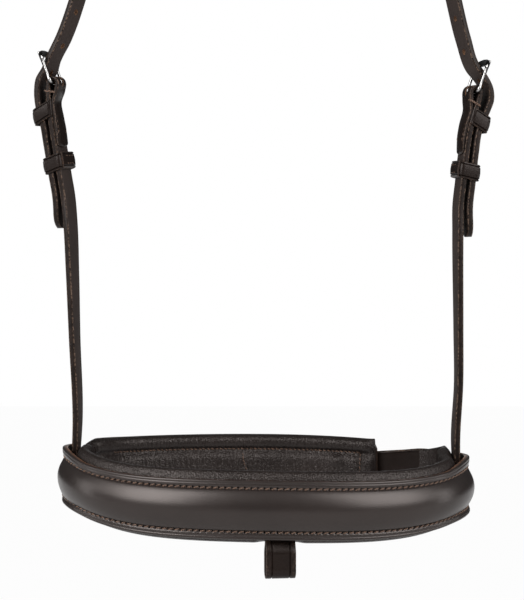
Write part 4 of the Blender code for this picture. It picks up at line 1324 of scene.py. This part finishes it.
def dome(share, reach=0.7):
    return np.maximum(0.0, np.cos(np.pi / 2 * np.minimum(np.abs(share) / reach, 1.0))) ** 0.75


def outer_place(x, y, z):
    """Where a point of the flat outer goes: x from the middle of the front."""
    share = y / BAND_HALF_HEIGHT
    fade = 1 - ease(np.abs(x), BAND_END - 22 * MM, BAND_END - 6 * MM)
    tab = np.sqrt(np.maximum(0, 1 - (np.maximum(0, np.abs(x) - BAND_END + BAND_TAB) / BAND_TAB) ** 2))
    rise = half_height(x) * share * (0.55 + 0.45 * tab)
    beside = ease(np.abs(ring_point(x, 0, 0)[..., 0]) / RING_HALF_WIDTH, 0.88, 0.995)
    flare = FLARE_LOW * ease(-share, 0.6, 0.9) + FLARE_HIGH * ease(share, 0.6, 0.9)
    reach = 0.7 + 0.09 * beside * (share < 0) * (x < 0)
    offset = -OUTER_THICK / 2 + BULGE * dome(share, reach) * fade + flare * beside * fade
    rise = rise + np.where(x > 0, CORNER_UP[1], CORNER_UP[0]) * MM * beside * ease(share, 0.55, 1.0)
    return ring_point(x, offset + z, rise)


def furrow(gone, depth, width):
    """How deep a soft furrow is at a distance from its middle."""
    return depth * np.exp(-((gone / width) ** 2))


def seam_pits(x, y, start, pitch):
    """How far the leather is drawn in along a seam, most where the thread goes through."""
    gone = ((x - start) / pitch + 0.5) % 1 - 0.5
    pit = PIT_DEPTH * np.exp(-((gone * pitch / PIT_WIDTH) ** 2) - (y / PIT_WIDTH) ** 2)
    return furrow(y, TROUGH_DEPTH, TROUGH_WIDTH) + pit


def make_outer():
    lines = [sign * (SEAM_LEVEL + d * 0.3 * MM) for sign in (-1, 1) for d in range(-5, 6)]
    lines += [k * 1.5 * MM for k in range(-6, 7)]
    lines += pressed(RIM_LEVEL, RIM_LINE_HALF)
    piece = strip(
        "noseband_outer_leather", (2 * BAND_END, 2 * BAND_HALF_HEIGHT, OUTER_THICK), 0.9 * MM,
        sorted(lines), 0.5 * MM, (RIM_LEVEL, RIM_DEPTH),
    )
    x, y, z = corners_of(piece).T
    x = x - BAND_END
    inner_corner = ease(-z, 0.6 * MM, 0.9 * MM)
    mask_fibre_and_highlight(piece, edge_mask(y, BAND_HALF_HEIGHT, 0.7 * MM, 0.3 * MM) * inner_corner)
    top, start = z > 0.4 * MM, -BAND_END + SEAM_FROM_END
    for sign in (-1, 1):
        z = z - np.where(top, seam_pits(x, y - sign * SEAM_LEVEL, start, SEAM_PITCH), 0)
    set_corners(piece, np.stack([x, y, z], axis=1))
    lay(piece, outer_place)
    paint_with(piece, BAND, BAND, FLESH)
    return hand_over(piece, "noseband", "band_leather", "noseband_outer")


make_outer()

# %% Outer stitching
def sew_outer():
    rows = []
    for sign, label in ((1, "upper"), (-1, "lower")):
        rows.append(stitch_row(
            label + "_row", -BAND_END + SEAM_FROM_END, BAND_END - SEAM_FROM_END, sign * SEAM_LEVEL,
            OUTER_THICK / 2 - 0.22 * MM, SEAM_PITCH, outer_place, fat=0.42 * MM,
        ))
    return hand_over(join("noseband_stitches", rows), "noseband", "band_leather")


sew_outer()

# %% [markdown]
# ## The padded lining
# The lining is a thin, soft sheet drawn over foam: it stands above the outer in a round
# roll and turns in below it. A grid is laid on the roll's section, creased a little by
# formula, and given its thickness with Solidify. It stands back where the cheek straps and
# the flash loop are sewn in.

# %% Lining of the noseband
LINING_THICK, LINING_PAST_SIDE, POCKET_DEPTH = 1.2 * MM, 20 * MM, 5.0 * MM
LOOP_AT, LOOP_WIDTH, LOOP_THICK, LOOP_LENGTH = 8 * MM, 17 * MM, 1.6 * MM, 24 * MM
LINING_END = RIGHT_SIDE + LINING_PAST_SIDE

# The lining's section in mm: offset from the outer's inner face, rise
LINING_SECTION = (
    (-1.0, 12.6), (-1.2, 17.6), (-3.6, 21.1), (-7.2, 20.4), (-8.9, 16.4), (-9.2, 8), (-9.3, 0),
    (-9.2, -8), (-8.7, -14.5), (-5.8, -18.4), (-2.4, -17.6), (-1.0, -12.6),
)


def section_line(corners, count):
    """A smooth section through the corners, as so many equal steps in metres."""
    line = smooth([(*corner, 0) for corner in corners], 0.2)[:, :2]
    run = run_along(line)
    even = np.linspace(0, run[-1], count + 1)
    return np.stack([np.interp(even, run, line[:, k]) for k in (0, 1)], axis=1) * MM


def pocket(run):
    return POCKET_DEPTH * ease(np.abs(run), RIGHT_SIDE - 28 * MM, RIGHT_SIDE - 10 * MM)


def loop_pocket(run, rise):
    near = 1 - ease(np.abs(run - LOOP_AT), LOOP_WIDTH / 2 + 1 * MM, LOOP_WIDTH / 2 + 7 * MM)
    return 5.8 * MM * near * ease(-rise, 5 * MM, 11 * MM)


ROLL_END = 15 * MM


def roll_share(distance):
    """A padded roll thins towards its end."""
    part = np.clip((ROLL_END - distance) / ROLL_END, 0, 1)
    return np.maximum(0.3, np.sqrt(1 - part**2))


def creases(along, across, seed, size):
    """Soft irregular creases that run across the piece, from -1 to 1."""
    dice = np.random.default_rng(seed)
    total = np.zeros_like(along)
    for _ in range(9):
        length = size * dice.uniform(0.6, 2.2)
        lean = dice.uniform(-0.5, 0.5)
        fade = np.sin(along / (length * dice.uniform(4, 9)) + dice.uniform(0, 6)) ** 2
        total += fade * np.sin(2 * math.pi * (along + lean * across) / length + dice.uniform(0, 6))
    return total / 3.2


def sheet_grid(name, columns, rows):
    """A flat grid from 0 to 1 both ways."""
    let_go()
    bpy.ops.mesh.primitive_grid_add(
        x_subdivisions=columns, y_subdivisions=rows, size=1, location=(0.5, 0.5, 0)
    )
    piece = bpy.context.object
    piece.name = name
    bpy.ops.object.transform_apply(location=True, rotation=False, scale=False)
    return piece


def make_lining(piece, fill, *replaced):
    """Give a laid sheet its thickness and finish, and hide the imported lining and padding it replaces.
    """
    apply_modifier(piece, "SOLIDIFY", thickness=LINING_THICK, offset=0, use_even_offset=True)
    face_out(piece)
    paint_with(piece, LINING)
    return hand_over(piece, "noseband", "lining_leather", *replaced, angle=70)


LINING_FLAP, FLAT_SHARE, LINING_BACK = 22 * MM, 0.78, 1.0 * MM
RUFFLE_DEPTH, RUFFLE_LENGTH = 0.07 * MM, 1.8 * MM
# The upper edge in mm: up before the right end and down past it, up and down at the left end
RIGHT_LIFT, RIGHT_FALL, LEFT_LIFT, LEFT_FALL = 2.9, 5.9, 2.6, 2.4
LINING_LINE = section_line(LINING_SECTION, 96)


def lining_point(run, v, height=0.0):
    """A place on the lining: along it, round its section from 0 to 1, and off it inwards."""
    shares = np.linspace(0, 1, len(LINING_LINE))
    deep, rise = (np.interp(v, shares, LINING_LINE[:, k]) for k in (0, 1))
    left = LINING_END - np.abs(run)
    flat = ease(run, LINING_END - 16 * MM, LINING_END - 2 * MM)
    share = np.where(run > 0, 1 - FLAT_SHARE * flat, roll_share(0.9 * left))
    rise = rise * half_height(run) / BAND_HALF_HEIGHT * np.where(run > 0, 1.0, 0.8 + 0.2 * share)
    lip = -OUTER_THICK - pocket(run) - loop_pocket(run, rise)
    shown = ease(v, 0.1, 0.2) * (1 - ease(v, 0.85, 0.95))
    ruffle = RUFFLE_DEPTH * creases(run, rise, 3, RUFFLE_LENGTH) * shown
    high = ease(rise, 6 * MM, 15 * MM)
    lift = np.where(
        run > 0,
        RIGHT_LIFT * ease(run, LINING_END - 34 * MM, LINING_END - 14 * MM)
        - RIGHT_FALL * np.clip((run - LINING_END + 4 * MM) / (24 * MM), 0, 1),
        LEFT_LIFT * ease(-left, -9 * MM, -1 * MM) - LEFT_FALL * ease(-left, -34 * MM, -20 * MM),
    ) * MM
    offset = lip - LINING_BACK + (deep + LINING_BACK) * share - ruffle - height
    return ring_point(run, offset, rise + lift * high)


def make_noseband_lining():
    piece = sheet_grid("noseband_lining_leather", 600, 96)
    whole = 2 * LINING_END + LINING_FLAP
    lay(piece, lambda u, v, z: lining_point(u * whole - LINING_END, v))
    return make_lining(piece, 0.8, "noseband_lining", "noseband_padding")


def flap_row_point(x, y, z):
    """A row near the middle of the section, arched along the flap."""
    arch = 0.36 + 0.09 * ((x - LINING_END) / (12 * MM)) ** 2
    return lining_point(x, arch + y / (80 * MM), z)


def sew_flap():
    """The flat end past the right cheek strap is sewn down in a short arched row."""
    row = stitch_row(
        "lining_flap_stitches", LINING_END - 2 * MM, LINING_END + 13 * MM, 0.0,
        LINING_THICK / 2 + 0.1 * MM, 2.8 * MM, flap_row_point, fat=0.3 * MM,
    )
    return hand_over(row, "noseband", "lining_leather")


make_noseband_lining()
sew_flap()

# %% [markdown]
# ## The chin pad
# Behind the jaw lies a second padded piece: a firm backing outside and the same soft
# lining inside, sewn down so that a roll is left above, below and at one end of a flat
# panel. The lining is one sheet laid on a mirrored section, and the roll thins towards
# both ends.

# %% Chin pad backing
PAD_RIGHT_END, BACKING_THICK = 71 * MM, 2.4 * MM
BACKING_HALF_HEIGHT, BACKING_LINE_IN, BACKING_LINE_DEPTH = 17 * MM, 1.8 * MM, 0.25 * MM


def pad_turn(run):
    """0 along the pad and 1 where it turns in to the noseband's left end."""
    return ease(run, LEFT_SIDE - 62 * MM, LEFT_SIDE - 27 * MM)


def make_backing():
    start, end = BACK - PAD_RIGHT_END, LEFT_SIDE - 12 * MM
    tall = BACKING_HALF_HEIGHT
    score = tall - BACKING_LINE_IN
    piece = strip(
        "chin_pad_backing_leather", (end - start, 2 * tall, BACKING_THICK), 0.7 * MM,
        pressed(score, 0.3 * MM) + [0.0], 1.0 * MM, (score, BACKING_LINE_DEPTH),
    )

    def place(x, y, z):
        run = start + x
        inward = pad_turn(run)
        corner = np.sqrt(1 - np.clip((4 * MM - x) / (4 * MM), 0, 1) ** 2)
        rise = y * (17 - 6 * inward) / 17 * (0.8 + 0.2 * corner)
        offset = -BACKING_THICK / 2 + inward * (BACKING_THICK / 2 - 6.0 * MM) + z
        return ring_point(run, offset, rise)

    mask_fibre_and_highlight(piece, edge_mask(corners_of(piece)[:, 1], tall, 0.4 * MM, 0))
    lay(piece, place)
    paint_with(piece, BAND, CUT, FLESH)
    face_out(piece)
    return hand_over(piece, "noseband", "band_leather", "chin_pad_backing")


make_backing()

# %% Chin pad lining
# The pad lining's section in mm, from its middle to its edge: depth behind the backing, rise
PAD_HALF_SECTION = (
    (-8.9, 0), (-8.5, 6.2), (-6.3, 10.8), (-8.9, 13.6), (-9.0, 16.8), (-5.8, 19.2), (-2.2, 18.4),
    (-1.0, 13.5),
)
# The panel is joined in the middle, and stands up in one place, where the buckle is behind it
PAD_START, PAD_END = BACK - PAD_RIGHT_END + 0.5 * MM, LEFT_SIDE - 16.5 * MM
PAD_SEAM_AT, PAD_BUMP_AT, PAD_END_SEAM = BACK + 12 * MM, BACK - 46 * MM, PAD_START + 8.5 * MM
PAD_RUFFLE_DEPTH, PAD_RUFFLE_LENGTH = 0.2 * MM, 1.7 * MM
BUMP_HEIGHT, BUMP_WIDTH, BUMP_UP = 1.4 * MM, 3 * MM, 5 * MM
PAD_HALF = section_line(PAD_HALF_SECTION, 120)
PAD_ARC = run_along(PAD_HALF)
PAD_SEAM_LEVEL = float(PAD_ARC[np.argmax(PAD_HALF[:, 1] > 10.6 * MM)])


def middle_seam(upright):
    """The joint in the panel wanders a little on its way down."""
    return PAD_SEAM_AT + 1.7 * MM * np.sin(upright / (4.5 * MM))


def pad_point(run, arc, height):
    """A place on the pad's lining: along, up its section from the middle, and off it."""
    inward = pad_turn(run)
    deep, rise = (np.interp(np.abs(arc), PAD_ARC, PAD_HALF[:, k]) for k in (0, 1))
    upright = np.sign(arc) * rise
    share = np.minimum(roll_share((PAD_END - run) * 2.2), roll_share((run - PAD_START) * 2.5))
    flat = 1 - ease(np.abs(arc), PAD_SEAM_LEVEL + 8 * MM, PAD_SEAM_LEVEL + 14 * MM)
    ruffle = PAD_RUFFLE_DEPTH * creases(run, 0.4 * upright, 11, PAD_RUFFLE_LENGTH) * flat
    panel = 1 - ease(np.abs(arc), PAD_SEAM_LEVEL - 1 * MM, PAD_SEAM_LEVEL + 1 * MM)
    ruffle = ruffle + furrow(run - middle_seam(upright), 0.7 * MM, 0.9 * MM) * panel
    ruffle = ruffle + furrow(run - PAD_END_SEAM, 1.3 * MM, 1.5 * MM) * panel
    bump = np.exp(-(((run - PAD_BUMP_AT) / BUMP_WIDTH) ** 2) - ((upright - BUMP_UP) / BUMP_WIDTH) ** 2)
    ruffle = ruffle - BUMP_HEIGHT * bump
    offset = -BACKING_THICK - inward * 5.1 * MM - LINING_BACK + (deep + LINING_BACK) * share
    offset = offset + ruffle - height
    lift = 0.8 * inward - 3.2 * (1 - np.sqrt(np.clip((PAD_END - run) / (9 * MM), 0, 1)))
    return ring_point(run, offset, upright + lift * MM * ease(upright, 6 * MM, 14 * MM))


def make_pad_lining():
    piece = sheet_grid("chin_pad_lining_leather", 420, 110)
    reach = float(PAD_ARC[-1])
    lay(piece, lambda u, v, z: pad_point(PAD_START + u * (PAD_END - PAD_START), (2 * v - 1) * reach, 0))
    return make_lining(piece, 0.7, "chin_pad_lining", "chin_pad_padding")


def sew_pad():
    """Rows along the panel's edges, up its squared end and down the joint in its middle."""
    above = LINING_THICK / 2 + 0.3 * MM
    rows = [
        stitch_row("panel_row", PAD_END_SEAM, PAD_END - 24 * MM, 0.0, above, 2.8 * MM,
                   lambda x, y, z: pad_point(x, sign * PAD_SEAM_LEVEL + y, z), fat=0.36 * MM)
        for sign in (-1, 1)
    ]
    rows.append(stitch_row(
        "panel_row", -PAD_SEAM_LEVEL, PAD_SEAM_LEVEL, 0.0, above, 2.8 * MM,
        lambda x, y, z: pad_point(PAD_END_SEAM + y, x, z), fat=0.3 * MM,
    ))
    rows.append(stitch_row(
        "panel_row", -9 * MM, 9 * MM, 0.0, above, 2.2 * MM,
        lambda x, y, z: pad_point(middle_seam(x) + 1.2 * MM + y, x, z), fat=0.26 * MM,
    ))
    return hand_over(join("chin_pad_stitches", rows), "noseband", "lining_leather")


make_pad_lining()
sew_pad()

# %% [markdown]
# ## The chin fastening
# On the back of the pad a chape is sewn down and folded round a buckle. The plain strap
# from the noseband's right end passes through that buckle and two keepers. All of it
# follows the ring, so its layers are given as distances from the buckle's near bar.

# %% Chin strap and chape
CHIN_WIDTH, CHIN_THICK, CHIN_BAR_AT = 19 * MM, 3.0 * MM, 40 * MM
CHIN_FRAME_LENGTH, CHIN_CHAPE_LENGTH, CHIN_KEEPERS_AT = 18 * MM, 53 * MM, (18.5 * MM, 38 * MM)
CHIN_BAR = CONTACT_GAP + CHIN_THICK / 2 + fold_radius(CHIN_THICK)
CHIN_GAP, CHIN_STEP = 1.2 * MM, 0.8 * MM
CHIN_HOLE_PITCH, CHIN_FOLD_SLOT = 19 * MM, (7.0 * MM, 1.7 * MM)
# Where the chin tongue goes through: out and up from the heel bar, and the slot's half sizes
CHIN_SLOT_AT, CHIN_SLOT = (5.0 * MM, 6.5 * MM), (3.1 * MM, 1.6 * MM)
# The chin strap climbs to the noseband's right end: way past its entry, offset, rise
CHIN_RISE = ((0, -6, 8), (10, -6, 8.2), (20, -5.4, 8.2), (34, -2.6, 7.5), (50, 0.4, 4.7))

# Along the band before the buckle: up, rise. Through the buckle: out, up
CHIN_ALONG_BAND = ((36, 3), (28, 1.8))
CHIN_THROUGH = ((-0.9, 18), (4.9, 5.2), (7.0, 0), (6.5, -5))


def chin_at(out, up, across=0.0):
    up, out, across = np.broadcast_arrays(np.asarray(up, float), out, across)
    return ring_point(BACK - CHIN_BAR_AT - up, CHIN_BAR + out, across)


def chin_station(out, up):
    return (*chin_at(out, up), *UP)


def chin_layers():
    raised = CHIN_THICK + KEEPER_THICK + 2 * KEEPER_PLAY - fold_radius(CHIN_THICK)
    return raised, raised + CHIN_THICK + CHIN_GAP


def chin_frame():
    origin = chin_at(0, 0)
    out = unit(chin_at(1 * MM, 0) - origin)
    up = np.cross(UP, out)
    toward = chin_at(0, 5 * MM) - origin
    return BuckleFrame(origin, out, UP, up * math.copysign(1.0, float(up @ toward)))


def chape_route():
    radius = fold_radius(CHIN_THICK)
    path = [chin_station(-radius, -CHIN_CHAPE_LENGTH + k * 6 * MM) for k in range(8)]
    path += [chin_station(-radius, -3 * MM)] + fold_arc(chin_station, radius)
    path += [chin_station(chin_layers()[0], -8 * MM - k * 7 * MM) for k in range(6)]
    return Route(path, 1)


def chin_strap_route():
    path = []
    for past, offset, rise in CHIN_RISE:
        path.append((*ring_point(RIGHT_SIDE + (12 + past) * MM, offset * MM, rise * MM), *UP))
    for up, rise in CHIN_ALONG_BAND:
        path.append((*chin_at(1.95 * MM - CHIN_BAR, up * MM, rise * MM), *UP))
    path += [chin_station(out * MM, up * MM) for out, up in CHIN_THROUGH]
    path += [chin_station(chin_layers()[1], -11 * MM - k * 8 * MM) for k in range(9)]
    return Route(path, -1)


AT_CHIN = chin_frame()


def make_chape():
    route = chape_route()
    piece = new_strap("chin_chape_leather", route.length, CHIN_WIDTH, CHIN_THICK, CHIN_STEP)
    fold = route.nearest(AT_CHIN.at(0, fold_radius(CHIN_THICK)))
    punch(piece, [(fold, *CHIN_FOLD_SLOT)], 3 * CHIN_THICK)
    lay_strap(piece, route, (5 * MM, 5 * MM))
    return hand_over(piece, "noseband", "strap_leather", "chin_chape")


def make_chin_strap():
    route = chin_strap_route()
    piece = new_strap("chin_strap_leather", route.length, CHIN_WIDTH, CHIN_THICK, CHIN_STEP)
    through = route.nearest(AT_CHIN.at(*CHIN_SLOT_AT))
    holes = [(through, *CHIN_SLOT)]
    holes += [(through + k * CHIN_HOLE_PITCH, *ROUND_HOLE) for k in (-1, 1, 2, 3)]
    punch(piece, holes, 3 * CHIN_THICK)
    lay_strap(piece, route, (0, 11 * MM))
    return hand_over(piece, "noseband", "strap_leather", "chin_strap")


make_chape()
make_chin_strap()

# %% Chin buckle and keepers
made = buckle_frame("chin_buckle_frame_steel", CHIN_WIDTH, CHIN_FRAME_LENGTH, AT_CHIN)
hand_over(made, "chin_buckle", "polished_steel", "chin_buckle")
made = tongue("chin_buckle_tongue_steel", AT_CHIN, tongue_end(CHIN_FRAME_LENGTH + FRAME_BOW))
hand_over(made, "chin_tongue", "polished_steel", "chin_tongue")
for name, centre in zip(("chin_buckle_keeper", "chin_end_keeper"), CHIN_KEEPERS_AT):
    made = keeper(name + "_band", chin_at, chin_layers(), CHIN_THICK, CHIN_WIDTH, centre)
    hand_over(made, "noseband", "strap_leather", name)

# %% [markdown]
# ## The flash loop
# A short tab of strap leather hangs under the front with both ends sewn in. A second,
# thinner strap would pass through it. It is a plain strip with a pressed line along each
# side, laid in a drop shape.

# %% Flash loop
LOOP_HALF_GAP, LOOP_OFFSET, LOOP_TURN = 4 * MM, -6.4 * MM, math.radians(8)
LOOP_LINE_IN, LOOP_LINE_DEPTH = 3.4 * MM, 0.5 * MM


def loop_route():
    pivot = ring_point(LOOP_AT, LOOP_OFFSET, -float(half_height(LOOP_AT)) + 1.9 * MM)
    leg = LOOP_THICK / 2 + 0.15 * MM
    low = -(LOOP_LENGTH - LOOP_HALF_GAP - LOOP_THICK / 2)
    side = [(leg, 1.2), (leg, -2.6), (2.2 * MM, -5.5), (LOOP_HALF_GAP, -9.5)]
    side = [(out, z * MM) for out, z in side]
    side += [(LOOP_HALF_GAP, z) for z in (-11 * MM, low + 1.5 * MM, low)]
    arc = [
        (LOOP_HALF_GAP * math.cos(a), low - LOOP_HALF_GAP * math.sin(a))
        for a in np.radians((30, 60, 90, 120, 150))
    ]
    outline = side + arc + [(-out, z) for out, z in side[::-1]]
    across = np.array((math.cos(LOOP_TURN), math.sin(LOOP_TURN), 0.0))
    front = np.array((math.sin(LOOP_TURN), -math.cos(LOOP_TURN), 0.0))
    return Route([(*(pivot + front * out + UP * z), *across) for out, z in outline], 1)


def make_loop():
    route = loop_route()
    score = LOOP_WIDTH / 2 - LOOP_LINE_IN
    piece = strip(
        "flash_loop_leather", (route.length, LOOP_WIDTH, LOOP_THICK), 0.4 * MM,
        pressed(score, 0.5 * MM) + [0.0], 0.5 * MM, (score, LOOP_LINE_DEPTH),
    )
    mask_fibre_and_highlight(piece, edge_mask(corners_of(piece)[:, 1], LOOP_WIDTH / 2, 0.5 * MM, 0.2 * MM))
    lay(piece, route.place)
    paint_with(piece, STRAP, CUT, FLESH)
    face_out(piece)
    return hand_over(piece, "flash_loop", "band_leather", "flash_loop")


make_loop()
